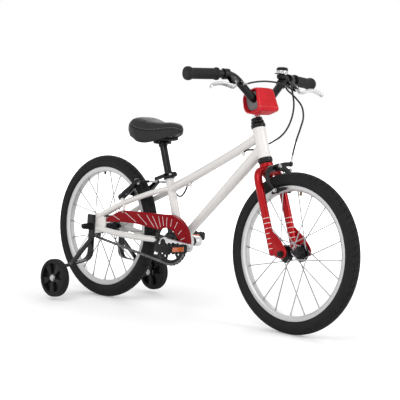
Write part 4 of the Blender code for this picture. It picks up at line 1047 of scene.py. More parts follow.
def build_levers():
    """Brake brackets with clamp, pivot screw and barrel adjuster, and their bent blades."""
    normal = np.cross(LEFT, REACH)
    for side, word in SIDES:
        axes = np.array((LEFT * side, REACH, normal * side))
        run = BAR_RUN * (1, side, 1)
        shapes = [turned(hoop(11.4, 15.2, -9, 9), 1.4, 3, on_bar(side, 22), run, 48)]
        pivot = on_bar(side, 17.7, 40)
        body = [(-14, -38), (-14, -3), (-10, 4), (3, 5.5), (8, 1), (8, -9), (4, -20), (7, -38)]
        body = eased(body, [3, 3, 4, 4, 4, 4, 6, 3], 4, loop=True)
        for lift in (-4.9, 4.9):
            shapes.append(plate([body], 3.2, 0.8, pivot + axes[2] * lift, axes))
        shapes.append(block((17, 26, 9), on_bar(side, 6, 22), axes, 2))
        shapes.append(rod(lever_exit(side, 106), lever_exit(side, 98), 5.6, 1))
        name = "lever_bracket_" + word
        piece = "lever_mount_" + word
        add_piece(piece, shapes, "gloss", "steering", [name])

        barrel = [rod(lever_exit(side, 98), lever_exit(side, 89.5), 3.3, 0.5, 24)]
        for spot in spaced((0, 0, 0), 4.2, 14):
            start, end = lever_exit(side, 97.4) + spot, lever_exit(side, 93.4) + spot
            barrel.append(rod(start, end, 0.7, 0.3, 8))
        barrel += [
            rod(lever_exit(side, 97.6), lever_exit(side, 93.2), 4.3, 0.6, 28),
            socket_bolt(pivot + axes[2] * 6.2, axes[2], 4, 2.4),
            socket_bolt(pivot - axes[2] * 6.2, -axes[2], 4, 2.4),
            rod(pivot - axes[2] * 6.4, pivot + axes[2] * 6.4, 2.2, 0.2, 16),
            socket_bolt(on_bar(side, 22, -14.2), -REACH, 3.4, 3),
        ]
        add_piece("lever_fittings_" + word, barrel, "zinc", "steering")

        points = [(633, 130, 658), (637, 138, 655.5), (639, 150, 656), (637, 168, 660)]
        points += [(635.5, 188, 661.5), (635, 206, 659), (636, 221, 655), (640, 230, 648.5)]
        path = flowing(np.array(points, float) * (1, side, 1), 40)
        t = np.linspace(0, 1, 40)
        wide = np.interp(t, (0, 0.15, 0.6, 0.9, 0.97, 1), (7, 7, 6.2, 6.4, 6, 4))
        thick = np.interp(t, (0, 0.15, 0.6, 0.9, 0.97, 1), (3.4, 3.4, 3, 3.4, 3.4, 2.4))
        section = soft_box(2, 2, 0.8, 4)
        blade = swept(path, section, np.column_stack((thick, wide)), guide=normal)
        tongue = np.vstack((arc(0, 0, 6.5, 125, 325, 14), arc(12, 8.5, 6, -50, 130, 10)))
        tongue = eased(tongue, 0.6, 2, loop=True)
        cam = plate([tongue, circle(2.6, 20)], 5, 0.8, pivot, axes)
        name = "brake_lever_" + word
        add_piece("lever_blade_" + word, [blade, cam], "cast", name, [name])


def build_bell():
    """The bell: black base and clamp, chrome band, black cap and the thumb's lever."""
    centre = np.array((602.1, 91.3, 0))
    slope = unit(BENDS[1] - BENDS[2])
    base = [(0, 688), (10, 688), (13.4, 689.5), (14.4, 692), (14.6, 700), (13.6, 701), (0, 701)]
    shapes = [spun(eased(base, 1, 3), centre, UPWARD, 48)]
    shapes.append(turned(hoop(11.4, 14.4, -6, 6), 1, 3, centre + UPWARD * 675.7, slope, 48))
    add_piece("bell_foot", shapes, "plastic", "steering", ["bell_base"])
    dome = [(15.4, 704), (16.5, 704), (16.8, 705), (16.8, 711.4), (16.3, 712.6), (15, 712.6)]
    shapes = [turned(dome, 0.5, 3, centre, UPWARD, 64)]
    shapes.append(rod(centre + UPWARD * 701, centre + UPWARD * 714, 3, 0.3))
    for h in (706.2, 709.8):
        bead = [(16.5, -0.5), (17, 0), (16.5, 0.5), (16, 0)]
        shapes.append(turned(bead, 0.2, 2, centre + UPWARD * h, UPWARD, 64))
    add_piece("bell_band", shapes, "chrome", "steering", ["bell_dome"])
    cap = [(0, 712), (16, 712), (16.7, 713.4), (16.2, 717.6), (13.4, 721), (8, 722.3), (0, 722.6)]
    shapes = [spun(eased(cap, 1, 4), centre, UPWARD, 64)]
    shapes.append(turned(hoop(5, 5.8, 722, 722.7), 0.3, 2, centre, UPWARD, 40))
    add_piece("bell_cap", shapes, "plastic", "steering")
    tab = np.vstack((arc(0, 0, 8, -60, 240, 24), [(-4, -16), (-5, -27), (5, -27), (4, -16)]))
    tab = eased(tab, 1, 2, loop=True)
    shapes = [plate([tab, circle(3.4, 20)], 2.2, 0.6, centre + UPWARD * 702.5, np.eye(3))]
    for x in (-3, -1, 1, 3):
        spot = centre + (x, -24.5, 703.4)
        shapes.append(rod(spot - LEFT * 2.2, spot + LEFT * 2.2, 0.6, 0.2, 8))
    name = "bell_thumb_lever"
    add_piece("bell_striker", shapes, "plastic", name, [name])


def build_pad():
    """The padded cover round stem and bar: a soft wall round a teardrop path, wider below.

    The wall's half thickness is 3.3 + 0.9 cos, pinched along its seams, with slow folds
    1 + 0.1 sin 7t + 0.06 sin 13t round the path; its width grows by 1 part in 300 a millimetre down.
    """
    waist, taper, half_width = 431, 300, 39.2
    corners = [(-3, 400.5), (49, 401.5), (48.5, 461.5), (-3, 461.5)]
    rounded = eased(corners, [26, 8, 8, 24], 10, loop=True)
    outline = even_loop(rounded, 180)
    path = beside_head(outline)
    a = np.linspace(0, 2 * math.pi, 64, endpoint=False)
    across = np.sign(np.cos(a)) * np.abs(np.cos(a)) ** 0.45 * half_width
    swell = 3.3 + 0.9 * np.cos(across / half_width * math.pi / 2)
    through = np.sign(np.sin(a)) * np.abs(np.sin(a)) ** 0.7 * swell
    pinch = np.exp(-(((np.abs(across) - 34) / 1.6) ** 2)) * 0.9
    through = through - np.sign(through) * pinch
    section = np.column_stack((through, across))
    t = np.arange(180) * 2 * math.pi / 180
    folds = 1 + 0.1 * np.sin(7 * t) + 0.06 * np.sin(13 * t + 1)
    size = np.column_stack((folds, np.ones(180)))
    points, faces = swept(path, section, size, guide=LEFT, loop=True)
    points[:, 1] *= 1 + (waist - (points - HEAD_FOOT) @ HEAD_UP) / taper
    name = "padded_bar_cover"
    pad = add_piece(name, [(points, faces)], "pad", "steering", ["handlebar_pad"], 60)
    middle = np.mean(corners, axis=0)
    inner = middle + (outline - middle) * 0.84
    foam = plate([inner], 62, 5, HEAD_FOOT, HEAD_SIDE_VIEW)
    add_piece("bar_cover_foam", [foam], "foam", "steering")
    # Stitches in a thread paler than the real red, so the seams carry a painted highlight as well as the
    # thread.
    lines = []
    line = middle + (rounded - middle) * (1 + 3.2 / 28)
    line = even_loop(line, 96)
    for y in (-34, 34):
        spots = beside_head(line) + LEFT * y * (1 + (waist - line[:, 1:]) / taper)
        for i in range(0, 96, 2):
            lines.append(swept(spots[[i, i + 1]], circle(0.55, 6)))
    for n, s in ((52.3, 408), (-6.4, 436), (-6.4, 424)):
        ends = in_head((n, -40, s), (n, 40, s))
        for i in range(26):
            pair = ends[0] + (ends[1] - ends[0]) * np.array([[i + 0.2], [i + 0.75]]) / 26
            lines.append(swept(pair, circle(0.55, 6)))
    add_piece("bar_cover_stitches", lines, "pale_thread_painted_highlight", "steering")


# Brakes and cables


def brake_block(foot, axes, name, piece):
    """A brake's rubber block: a rounded bar bent to the rim, u = u0 - 1.9 t^2, with its cuts."""
    t = np.linspace(-1, 1, 9)
    path = foot + np.column_stack((np.full(9, 18.6), -1.9 * t**2, 25.6 * t)) @ axes
    size = np.array((0.6, 0.9, 1, 1, 1, 1, 1, 0.9, 0.6))
    shapes = [swept(path, soft_box(9, 8.8, 2), size, guide=axes[1])]
    for n in (-14, -5, 5, 14):
        shapes.append(block((0.8, 9.4, 1.6), foot + np.array((14.4, 0, n)) @ axes, axes, 0.2))
    cone = [(3, 22), (8.6, 22), (8.6, 25), (7.4, 28), (3, 28)]
    shapes.append(turned(cone, 0.6, 2, foot, axes[0], 32))
    add_piece(piece, shapes, "tyre", name)


def block_fittings(foot, axes, reach):
    """The block's bolt with its washer and nut."""
    out = axes[0]
    return [
        rod(foot + out * 22, foot + out * reach, 3.2, 0.4, 20),
        rod(foot + out * (reach - 2.6), foot + out * (reach - 0.4), 6.2, 0.5, 28),
        hexagon(foot + out * reach, out, 9, 3.6),
    ]


def build_rear_brake():
    """The linear-pull brake: arms, blocks, springs, bolts, the silver guide and its boot."""
    for side, word in SIDES:
        axes = np.array((LEFT * side, BRAKE_UP, BRAKE_OUT))

        def spot(y, u, n):
            return BRAKE_FOOT + np.array((y, u, n), float) @ axes

        foot = arc(BRAKE_PIVOT_Y, 0, 9.5, 180, 360, 14)
        head = arc(41, 78, 7.6, 0, 180, 8)
        outline = (foot, [(56.5, 26), (50.5, 55)], head, [(30.5, 55), (30, 20), (33, 8)])
        outline = eased(np.vstack(outline), 1.5, 2, loop=True)
        turn = np.array((LEFT * side, BRAKE_UP, np.cross(LEFT * side, BRAKE_UP)))
        hole = circle(4.5, 20) + (BRAKE_PIVOT_Y, 0)
        shapes = [plate([outline, hole], 11.2, 2, BRAKE_FOOT, turn)]
        shapes.append(block((5, 34, 1.6), spot(42, 38, 6), axes, 0.7))
        pivot = spot(BRAKE_PIVOT_Y, 0, 0)
        shapes.append(turned(hoop(4.6, 9, -5.9, 6), 0.8, 3, pivot, BRAKE_OUT, 36))
        name = "rear_brake_arm_" + word
        add_piece("rear_brake_cast_" + word, shapes, "gloss", name, [name])
        brake_block(spot(0, 24, -1), axes, name, "rear_brake_block_" + word)

        bits = block_fittings(spot(0, 24, -1), axes, 49)
        wire = [(39, -4, -5), (37.5, 14, -7), (35, 34, -6.6), (36, 52, -6.2)]
        bits.append(swept(flowing([spot(*p) for p in wire], 16), circle(0.8, 8), guide=BRAKE_OUT))
        if side < 0:
            bits += [
                socket_bolt(spot(42, 80, -7), -BRAKE_OUT, 4.4, 4),
                rod(spot(42, 80, -8), spot(42, 80, 9), 3, 0.4, 20),
                rod(spot(42, 80, 6), spot(42, 80, 7.6), 5.8, 0.4, 24),
                rod(spot(43, 80, 0), spot(30, 80, 0), 0.8, 0.2, 10),
            ]
        else:
            bend = [(5, 80, 0), (35, 80, 0), (44, 82, -2), (50, 89, -8), (52, 98, -15)]
            bits.append(swept(flowing([spot(*p) for p in bend], 40), circle(3.2, 20)))
            bits.append(rod(spot(31, 80, 0), spot(38, 80, 0), 4.6, 0.6, 24))
            h = np.arange(0, 27, 0.75)
            r = 3.8 - 0.02 * h + 0.5 * np.abs(np.sin(h * math.pi / 4))
            profile = np.vstack(([(0, 0)], np.column_stack((r, h)), [(0, 27)]))
            boot = spun(profile, spot(4, 80, 0), LEFT * -side, 28)
            add_piece("rear_brake_boot", [boot], "grip", name)
        add_piece("rear_brake_fittings_" + word, bits, "zinc", name)


def build_front_brake():
    """The side-pull brake: crossed arms on one bolt, blocks, spring, barrel, wire and anchor."""
    sweep = [(0, FRONT_BOLT, 0), (22, 236, 0), (39, 223, 0), (44, 206, 0), (38, 189, 3), (28, 176, 7)]
    ends = {"right": [(52, 231), (28, 236), (0, 239)], "left": [(54, 248), (26, 247), (0, 241)]}
    depths = {"right": 31.2, "left": 39.8}
    t = np.linspace(0, 1, 40)
    for side, word in SIDES:
        n = depths[word]
        shapes = []
        curve = flowing([in_head((n + d, side * y, s)) for y, s, d in sweep], 40)
        wide = np.interp(t, (0, 0.3, 0.55, 1), (6.6, 8.2, 7, 5.6))
        size = np.column_stack((wide, np.full(40, 3.9)))
        shapes.append(swept(curve, soft_box(2, 2, 0.7, 4), size, guide=HEAD_FORE))
        curve = flowing([in_head((n, y, s)) for y, s in ends[word]], 30)
        shapes.append(swept(curve, soft_box(12.4, 7.4, 2.6, 4), guide=HEAD_FORE))
        place = in_head((n, 0, FRONT_BOLT))
        shapes.append(turned(hoop(3.4, 9.5, -4, 4), 1, 3, place, HEAD_FORE, 48))
        axes = np.array((LEFT * side, HEAD_UP, HEAD_FORE))
        foot = in_head((41, 0, 174))
        name = "front_brake_arm_" + word
        bits = block_fittings(in_head((n + 7, 0, 175)), axes, 33)
        spring = [(3, 248, 24), (18, 246, 24), (32, 234, 25), (37.5, 216, 26), (37, 200, 29)]
        spring = [in_head((n, side * y, s)) for y, s, n in spring]
        bits.append(swept(flowing(spring, 30), circle(1.1, 10), guide=HEAD_FORE))
        if side < 0:
            spots = [in_head((ahead, 50, 231)) for ahead in (27, 40, 35.4, 37)]
            bits += [rod(*spots[:2], 3, 0.3, 20), rod(*spots[2:], 6, 0.4, 28)]
            bits.append(hexagon(spots[3], HEAD_FORE, 9, 4.6))
        else:
            stop = [(39.8, 52.6, 242), (43.3, 54.4, 252.6), (41.3, 53.3, 247.5), (46.2, 56.1, 260.5)]
            stop = in_head(*stop)
            shapes.append(rod(stop[0], stop[1], 5.6, 1))
            run = unit(stop[3] - stop[2])
            bits += [rod(*stop[2:], 3, 0.4, 24), rod(stop[1], stop[1] + run * 3.6, 4.6, 0.6, 28)]
            wire = even([stop[0] - run * 0.6, in_head((36, 49.6, 231)), in_head((33.6, 48.4, 222))], 12)
            bits.append(swept(wire, circle(0.8, 10), guide=HEAD_FORE))
        piece = "front_brake_cast_" + word
        add_piece(piece, shapes, "gloss", name, [name])
        brake_block(foot, axes, name, "front_brake_block_" + word)
        add_piece("front_brake_fittings_" + word, bits, "zinc", name)


CABLE_ROUTES = {
    "front": [(640, 76, 657), (663, 80, 640), (688, 83, 615), (699, 80, 585), (698, 72, 555)]
    + [(692, 66, 524), (687.5, 61.5, 494), (687.2, 56.2, 468.4)],
    "over": [(630, -62, 670.5), (631, -37, 674.5), (630, -9, 677), (629, 20, 677.3)]
    + [(629, 49, 676), (634, 76, 671), (640, 92, 660), (645, 95, 640), (650, 94, 620)]
    + [(652, 91, 600), (650, 88, 580), (646, 82, 559), (640, 74, 541), (632, 63, 526)]
    + [(622, 50, 514), (612, 36, 504), (600, 21, 494), (586, 8, 488)],
    "rear": [(342, 0.5, 367), (336, 2, 357), (328, 4, 347.5), (319, 7, 340.5), (309, 11, 336)]
    + [(298, 16, 334), (284, 24, 334), (264, 33, 340), (247, 40, 352), (229, 48, 366)],
}


def housing(path, steps):
    """A cable housing along a route, with a metal ferrule at each end."""
    path = flowing(path, steps)
    shape = swept(path, circle(2.5, 20))
    caps = []
    for end, inner in ((path[0], path[2]), (path[-1], path[-3])):
        run = unit(inner - end)
        cup = eased([(0, 0), (2.9, 0), (3.1, 0.8), (3.1, 9), (2.7, 9.8), (0, 9.8)], 0.3, 2)
        caps.append(spun(cup, end, run, 24))
    return shape, caps


def build_cables():
    """The front and rear cable housings with their ferrules, and the bare wire between stops."""
    run = unit(TOP_TUBE[1] - TOP_TUBE[0])
    path = np.vstack((lever_exit(1), lever_exit(1, 81), CABLE_ROUTES["front"]))
    shape, ends = housing(path, 90)
    name = "front_brake_cable"
    add_piece("front_brake_housing", [shape], "housing", "steering", [name])
    path = [lever_exit(-1), lever_exit(-1, 80), *CABLE_ROUTES["over"]]
    path += [CABLE_STOPS[1] + run * 18, CABLE_STOPS[1] + run * 6.6]
    shape, more = housing(path, 150)
    name = "rear_brake_cable_front"
    add_piece("rear_brake_housing_upper", [shape], "housing", "steering", [name])
    ends = ends + more[:1]
    add_piece("housing_ferrules", ends, "zinc", "steering")
    end = BRAKE_FOOT + LEFT * 52.5 + BRAKE_UP * 98.6 - BRAKE_OUT * 17.2
    path = [CABLE_STOPS[0] - run * 6.4, *CABLE_ROUTES["rear"], end]
    shape, rear_ends = housing(path, 90)
    name = "rear_brake_cable"
    add_piece("rear_brake_housing_lower", [shape], "housing", "frame", [name])
    wire = swept(even(CABLE_STOPS, 12), circle(1, 10))
    add_piece("rear_brake_wire", [wire] + rear_ends, "zinc", "frame")


# Seat


SADDLE_ROWS = np.array(
    [(126, 30, 545, 519), (132, 50, 554, 511), (146, 62, 560, 502), (160, 65, 561, 497)]
    + [(180, 64, 557, 487), (205, 53, 551.5, 485.5), (235, 36, 549, 494), (265, 27, 550, 504)]
    + [(288, 20, 547.5, 512), (301, 12, 541, 517), (306, 5, 532, 521)],
    float,
)


def saddle_rings(steps=48):
    """Cross sections of the saddle: half outlines mirrored, from rows of width, top and bottom."""
    rows = flowing(SADDLE_ROWS, steps)
    rings = []
    for x, w, high, low in rows:
        seam = 0.55 * high + 0.45 * low
        fat = (high - low) / 70
        roof = max(509, low + 1)
        half = [(0, high), (0.3 * w, high - 0.4 * fat), (0.55 * w, high - 2.6 * fat)]
        half += [(0.8 * w, high - 9 * fat), (0.95 * w, seam + 9 * fat), (w, seam + 2.6 * fat)]
        half += [(0.955 * w, seam), (w, seam - 2.6 * fat), (0.975 * w, 0.4 * seam + 0.6 * low)]
        half += [(0.91 * w, low), (0.83 * w, low), (0.78 * w, roof), (0, roof)]
        half = np.array(half, float)
        half = eased(half, [0, 5, 5, 5, 5, 1.6, 1.2, 1.6, 6, 2.5, 2, 2, 0], 3)
        ring = np.vstack((half, (half[1:-1] * (-1, 1))[::-1]))
        rings.append(np.column_stack((np.full(len(ring), x), ring)))
    return np.array(rings), rows


def build_saddle():
    """The padded saddle with its seam cord and stitches, its rails and clamp, and the post."""
    rings, rows = saddle_rings()
    body = lofted(rings)
    cover = add_piece("saddle_cover", [body], "vinyl", "seatpost", ["saddle"], 55)
    seam = 0.55 * rows[:, 2] + 0.45 * rows[:, 3]
    left = np.column_stack((rows[:, 0], rows[:, 1] * 0.985, seam))
    loop = np.vstack((left, mirrored(left)[::-1]))
    loop = even_loop(loop, 240)
    cord = swept(loop, circle(1.1, 10), guide=UPWARD, loop=True)
    cords = [cord]
    for start, stop, first, last in ((2, 10, 24, 33), (38, 42, 24, 34), (39.4, 43.4, 24, 34)):
        t = np.linspace(0, 1, 6)
        i = np.rint(start + (stop - start) * t).astype(int)
        path = rings[i, np.rint(first + (last - first) * t).astype(int)]
        for half in (path, mirrored(path)):
            cords.append(swept(flowing(half, 24), circle(0.9, 8), guide=FORWARD))
    add_piece("saddle_piping", cords, "vinyl", "seatpost")
    stitches = []
    lift = np.array((0, 0, 3.4))
    for i in range(0, 240, 2):
        pair = np.array((loop[i], loop[(i + 1) % 240])) + lift
        pair[:, 1] *= 1.006
        stitches.append(swept(pair, circle(0.4, 6)))
    add_piece("saddle_stitches", stitches, "thread", "seatpost")

    post = rod(in_seat((0, 0, 88)), in_seat((0, 0, 306)), 11.1, 0.8, 48)
    add_piece("seatpost_tube", [post], "gloss", "seatpost", ["seatpost"])
    wire = [(150, 20, 506), (153, 20, 500.5), (166, 20, 497.8), (200, 20, 497.8), (248, 20, 497.8)]
    wire += [(268, 13, 499), (287, 4, 502)]
    half = flowing(wire, 40)
    rails = swept(np.vstack((half, mirrored(half)[::-1])), circle(3.5, 20), guide=UPWARD)
    shapes = [rails]
    post_top = in_seat((0, 0, 300))
    shapes.append(turned(hoop(11.2, 13.6, -9, 9), 1, 3, post_top, SEAT_UP, 40))
    bolt = np.array((228, 0, 490))
    for side in (-1, 1):
        jaw = eased([(0, -5), (9, -5), (10.2, 0), (9, 5), (0, 5)], 1.2, 3)
        shapes.append(spun(jaw, bolt + (0, side * 20, 3.5), LEFT, 32))
        shapes.append(block((24, 8.6, 4.2), bolt + (0, side * 20, 12.6), None, 1.2))
    shapes.append(rod(bolt - LEFT * 29, bolt + LEFT * 29, 3.6, 0.4, 20))
    for out in (LEFT, -LEFT):
        shapes.append(hexagon(bolt + out * 27, out, 11, 5.2))
    add_piece("saddle_rails_and_clamp", shapes, "gloss", "seatpost", ["saddle_clamp"])


def build_seat_clamp():
    """The collar round the seat tube, its bolt and nut, and the quick-release lever."""
    low, high = 190.0, 208.0
    middle = (low + high) / 2
    lug = 20
    wall = [(16.2, high), (16.2, low), (12.9, low), (12.9, high - 3), (11.6, high - 2.4), (11.6, high)]
    shapes = [turned(wall, 0.9, 3, CRANK, SEAT_UP, 56)]
    for side in (-1, 1):
        place = in_seat((lug, side * 4.6, middle))
        shapes.append(block((11, 6.4, 14.6), place, SEAT_AXES, 1.6))
    add_piece("seat_collar", shapes, "gloss", "frame", ["seat_clamp_collar"])
    bits = [rod(in_seat((lug, -14.5, middle)), in_seat((lug, 9, middle)), 2.6, 0.3, 20)]
    nut = eased([(0, 7.8), (6.4, 7.8), (6.6, 9), (5.4, 12.6), (0, 13.2)], 0.6, 3)
    bits.append(spun(nut, in_seat((lug, 0, middle)), LEFT, 32))
    ends = in_seat((lug, -15.5, middle - 5.4), (lug, -15.5, middle + 5.4))
    bits.append(rod(*ends, 2.4, 0.4, 20))
    add_piece("seat_clamp_bolt", bits, "zinc", "frame")
    reach = [(6, -19), (-32, -21), (-36, -24), (-34, -28.4), (5, -27)]
    shape = np.vstack((arc(lug, -15.5, 5.5, -90, 100, 16), reach))
    shape = eased(shape, [0.5] * 16 + [4, 4, 3, 4, 6], 4, loop=True)
    place = in_seat((0, 0, middle))
    outlines = [shape, circle(2.5, 20) + (lug, -15.5)]
    arms = []
    for lift in (-3.9, 3.9):
        arms.append(plate(outlines, 2.4, 0.7, place + SEAT_UP * lift, SEAT_AXES))
    tail = eased([(8, -19.4), (-32, -21), (-36, -24), (-34, -28.4), (5, -27)], 3, 4, loop=True)
    arms.append(plate([tail], 8.6, 1.4, place, SEAT_AXES))
    name = "seat_clamp_lever"
    add_piece("seat_quick_release", arms, "gloss", name, [name])


# Drive


def build_cranks():
    """Chainring, spindle, silver crank arms with their dust caps, and caged pedals."""
    windows, holes = [], []
    for k in range(5):
        middle = 64 + 72 * k
        outer = arc(0, 0, 52, middle - 23, middle + 23, 14)
        inner = arc(0, 0, 31, middle + 19, middle - 19, 10)
        curves = [5] + [0.3] * 12 + [5, 5] + [0.3] * 8 + [5]
        windows.append(eased(np.vstack((outer, inner)), curves, 4, loop=True))
        turn = math.radians(28 + 72 * k)
        holes.append(circle(3.1, 16) + (46.5 * math.cos(turn), 46.5 * math.sin(turn)))
    place = CRANK + LEFT * CHAIN_Y
    outlines = [cog_outline(32, RING_RADIUS), circle(9.2, 32)] + windows + holes
    ring = plate(outlines, 2.4, 0.4, place, SIDE_VIEW)
    lip = [(52.5, -2.2), (56.5, -2.2), (57.3, -1), (52, -1)]
    boss = [(9.2, -2.6), (25, -2.6), (27, -1), (9.2, -1)]
    shapes = [ring]
    for side in (-1, 1):
        shapes.append(turned(lip, 0.4, 2, place, LEFT * side, 96))
        shapes.append(turned(boss, 0.5, 2, place, LEFT * side, 64))
    add_piece("toothed_chainring", shapes, "gloss", "crank", ["chainring"])
    spindle = rod(CRANK - LEFT * 69.5, CRANK + LEFT * 69.5, 8.4, 0.5, 40)
    add_piece("spindle", [spindle], "steel", "crank", ["crank_spindle"])

    aim = np.array((math.cos(CRANK_DROP), 0, math.sin(CRANK_DROP)))
    for side, word in SIDES:
        out = LEFT * side
        end = CRANK + aim * (-side * CRANK_LENGTH)
        outline = belt(CRANK[::2], 15, end[::2], 10.6, 28)
        shapes = [plate([outline, circle(10.2, 32) + CRANK[::2]], 12, 2.6, out * 68, SIDE_VIEW)]
        inner = 43.9 if side < 0 else 50
        boss = [(8.8, inner), (12.8, inner), (14.6, inner + 5), (15.2, 62), (15.2, 72), (13.6, 74.4)]
        boss += [(11, 74.4), (10.6, 71), (8.8, 71)]
        shapes.append(turned(boss, 0.8, 3, CRANK, out, 56))
        foot = [(4.6, 61), (10.2, 61), (10.8, 63), (10.8, 73), (9.4, 74.6), (4.6, 74.6)]
        place = end * (1, 0, 1)
        shapes.append(turned(foot, 0.9, 3, place, out, 48))
        spine = even([CRANK + aim * (-side * r) + out * 73.4 for r in (20, 28, 76, 84)], 12)
        size = np.array((0.3, 0.7, 0.9, 1, 1, 1, 1, 1, 0.9, 0.8, 0.6, 0.3))
        shapes.append(swept(spine, soft_box(9, 2.2, 0.9), size, guide=LEFT))
        name = "crank_arm_" + word
        add_piece("forged_crank_" + word, shapes, "cast", "crank", [name])
        cap = [(0, 70.6), (10.4, 70.6), (10.5, 73.6), (7.6, 75), (3.2, 75.2), (2.8, 73.8), (0, 73.8)]
        bits = [spun(eased(cap, 0.4, 3), CRANK, out, 40)]
        add_piece("crank_dust_cap_" + word, bits, "plastic", "crank")
        bits = [
            rod(place + out * 66, place + out * 171, 4.9, 0.6, 24),
            hexagon(place + out * 75, out, 15, 6, 0.6),
            rod(place + out * 81, place + out * 99, 6.4, 0.6, 28),
        ]
        add_piece("pedal_spindle_" + word, bits, "zinc", "crank")
        build_pedal(word, place + out * PEDAL_Y, "pedal_" + word, side)


def build_pedal(word, centre, body, outward):
    """A pedal: a barrel between toothed rails and end bars, with a reflector fore and aft."""
    barrel = both_ways([(5.3, -37.6), (9.6, -37.6), (10.4, -34), (8.6, -20)])
    shapes = [turned(barrel, 1, 3, centre, LEFT, 40)]
    for y in (-34.6, 34.6):
        shapes.append(block((54, 6.4, 21), centre + LEFT * y, None, 2))
    for y in (-11.5, 11.5):
        shapes.append(block((44, 4.6, 13), centre + LEFT * y, None, 1.2))
    for x in (-24.4, 24.4):
        shapes.append(block((6.4, 72, 18.6), centre + FORWARD * x, None, 1.8))
        for y in (-30, -15, 0, 15, 30):
            for z in (-10.4, 10.4):
                shapes.append(block((5.6, 6.4, 5.2), centre + (x, y, z), None, 1.2))
    for y in (-34.6, 34.6):
        for x in (-10, 10):
            for z in (-11, 11):
                shapes.append(block((5, 5.4, 4), centre + (x, y, z), None, 1.1))
    name = "pedal_" + word
    add_piece("caged_pedal_" + word, shapes, "plastic", body, [name])
    lenses = []
    for x in (-27.7, 27.7):
        lenses.append(block((1.6, 44, 12.6), centre + (x, min(0, -12 * outward), 0), None, 0.6))
    add_piece("pedal_reflectors_" + word, lenses, "reflector", body)


def build_chain():
    """The roller chain: pins along the belt round ring and cog, under plates by turns."""
    fine = belt(CRANK[::2], RING_RADIUS, REAR_HUB[::2], COG_RADIUS, 200)
    fine = even(np.vstack((fine, fine[:1])), 4001)
    length = np.linalg.norm(np.diff(fine, axis=0), axis=1).sum()
    links = 2 * int(round(length / PITCH / 2))
    pins = even(fine, links + 1)[:-1]
    after = np.roll(pins, -1, axis=0)
    middle, run = (pins + after) / 2, unit(after - pins)
    gap = np.linalg.norm(after - pins, axis=1)
    waist = [(2.2, 2.9), (0, 2.5), (-2.2, 2.9)]
    half = np.vstack((arc(PITCH / 2, 0, 4.1, -60, 60, 7), waist))
    outline = np.vstack((half, -half))
    thick = 0.9
    shapes = []
    for kind, y in ((0, 2.2), (1, 3.3)):
        pick = np.arange(kind, links, 2)
        for side in (-1, 1):
            rings = []
            for shrink, depth in ((0.9, -thick / 2), (1, -thick / 4), (1, thick / 4), (0.9, thick / 2)):
                flat = outline * (gap[pick].mean() / PITCH, 1) * shrink
                x = middle[pick, :1] + flat[:, 0] * run[pick, :1] - flat[:, 1] * run[pick, 1:]
                z = middle[pick, 1:] + flat[:, 0] * run[pick, 1:] + flat[:, 1] * run[pick, :1]
                rings.append(np.stack((x, np.full(x.shape, CHAIN_Y + side * y + depth), z), -1))
            shapes += [lofted(link) for link in np.stack(rings, 1)]
    for x, z in pins:
        spot = np.array((x, CHAIN_Y, z))
        shapes.append(rod(spot - LEFT * 1.7, spot + LEFT * 1.7, 3.6, 0.3, 12))
        shapes.append(rod(spot - LEFT * 4.5, spot + LEFT * 4.5, 1.7, 0.3, 10))
    add_piece("roller_chain", shapes, "steel", "frame", ["chain"], 30)


FAN_LINES = np.array(
    [(84, 260, 116.8, 248.8), (139.6, 273.3, 190.4, 249), (195.1, 273.3, 238.8, 245.4)]
    + [(234.3, 273.9, 269.2, 241.9), (260.3, 273.4, 286.4, 239.2), (285.7, 275.2, 296.6, 244.6)]
    + [(302.6, 275.9, 309.8, 248.9), (321.6, 274.8, 321.6, 248.6), (342.7, 272.4, 338.2, 250.2)]
    + [(366, 266, 355.2, 246.1), (384.2, 243.3, 370.9, 230.4), (398.1, 223.1, 382.3, 215.7)]
)


def build_chainguard(line_width):
    """The chainguard: a plate with a rolled rim, its bracket, and white lines fanned over it."""
    front = arc(*CRANK[::2], 80, -16, 93.5, 40)
    outline = [(290, 281.5), (226, 280.6), (125, 278), (87, 262.7), (50, 245), (50, 234.6)]
    outline += [(82, 238.8), (116.6, 242.5), (154, 243.7), (192.8, 243.8), (238, 240)]
    outline += [(288.6, 235.6), (298, 237.2), (316.6, 245), (335.6, 243.8), (357, 233.3)]
    outline += [(371, 217.4), (378, 207), (398, 207), (402, 200), (403, 180)]
    reach = [0.5] * 40 + [8, 20, 9, 9, 2, 2, 12, 12, 12, 12, 12, 14, 4, 6, 7, 9, 7, 3, 3, 3, 2]
    outline = eased(np.vstack((front, outline)), reach, 3, loop=True)
    shapes = [plate([outline], 2, 0.5, (0, GUARD_Y, 0), SIDE_VIEW)]
    edge = arc(*CRANK[::2], 78.6, -15, 93.5, 48)
    back = [(290, 280), (226, 279.1), (130, 276.6), (121, 274.8), (88, 261.3), (52, 244.2)]
    edge = np.vstack((edge, back))
    path = np.column_stack((edge[:, 0], np.full(len(edge), GUARD_Y + 8.3), edge[:, 1]))
    shapes.append(swept(even(path, 140), soft_box(2.2, 18.4, 0.9, 3), guide=LEFT))
    add_piece("red_chainguard", shapes, "guard", "frame", ["chainguard"])
    prints = []
    y = GUARD_Y - 1.05
    for x, z, far_x, far_z in FAN_LINES:
        path = np.array(((x, y, z), (far_x, y, far_z)))
        prints.append(swept(path, soft_box(line_width, 0.3, 0.1, 1), guide=LEFT))
    add_piece("guard_fan_lines", prints, "line", "frame")
    tab = [block((11.5, 4, 25), (130, GUARD_Y + 2.8, 283.4), None, 1.4)]
    add_piece("guard_bracket", tab, "pearl", "frame")
    screw = [socket_bolt((130, GUARD_Y - 1, 273), -LEFT, 3.4, 2)]
    add_piece("guard_screw", screw, "zinc", "frame")


# Stabilisers


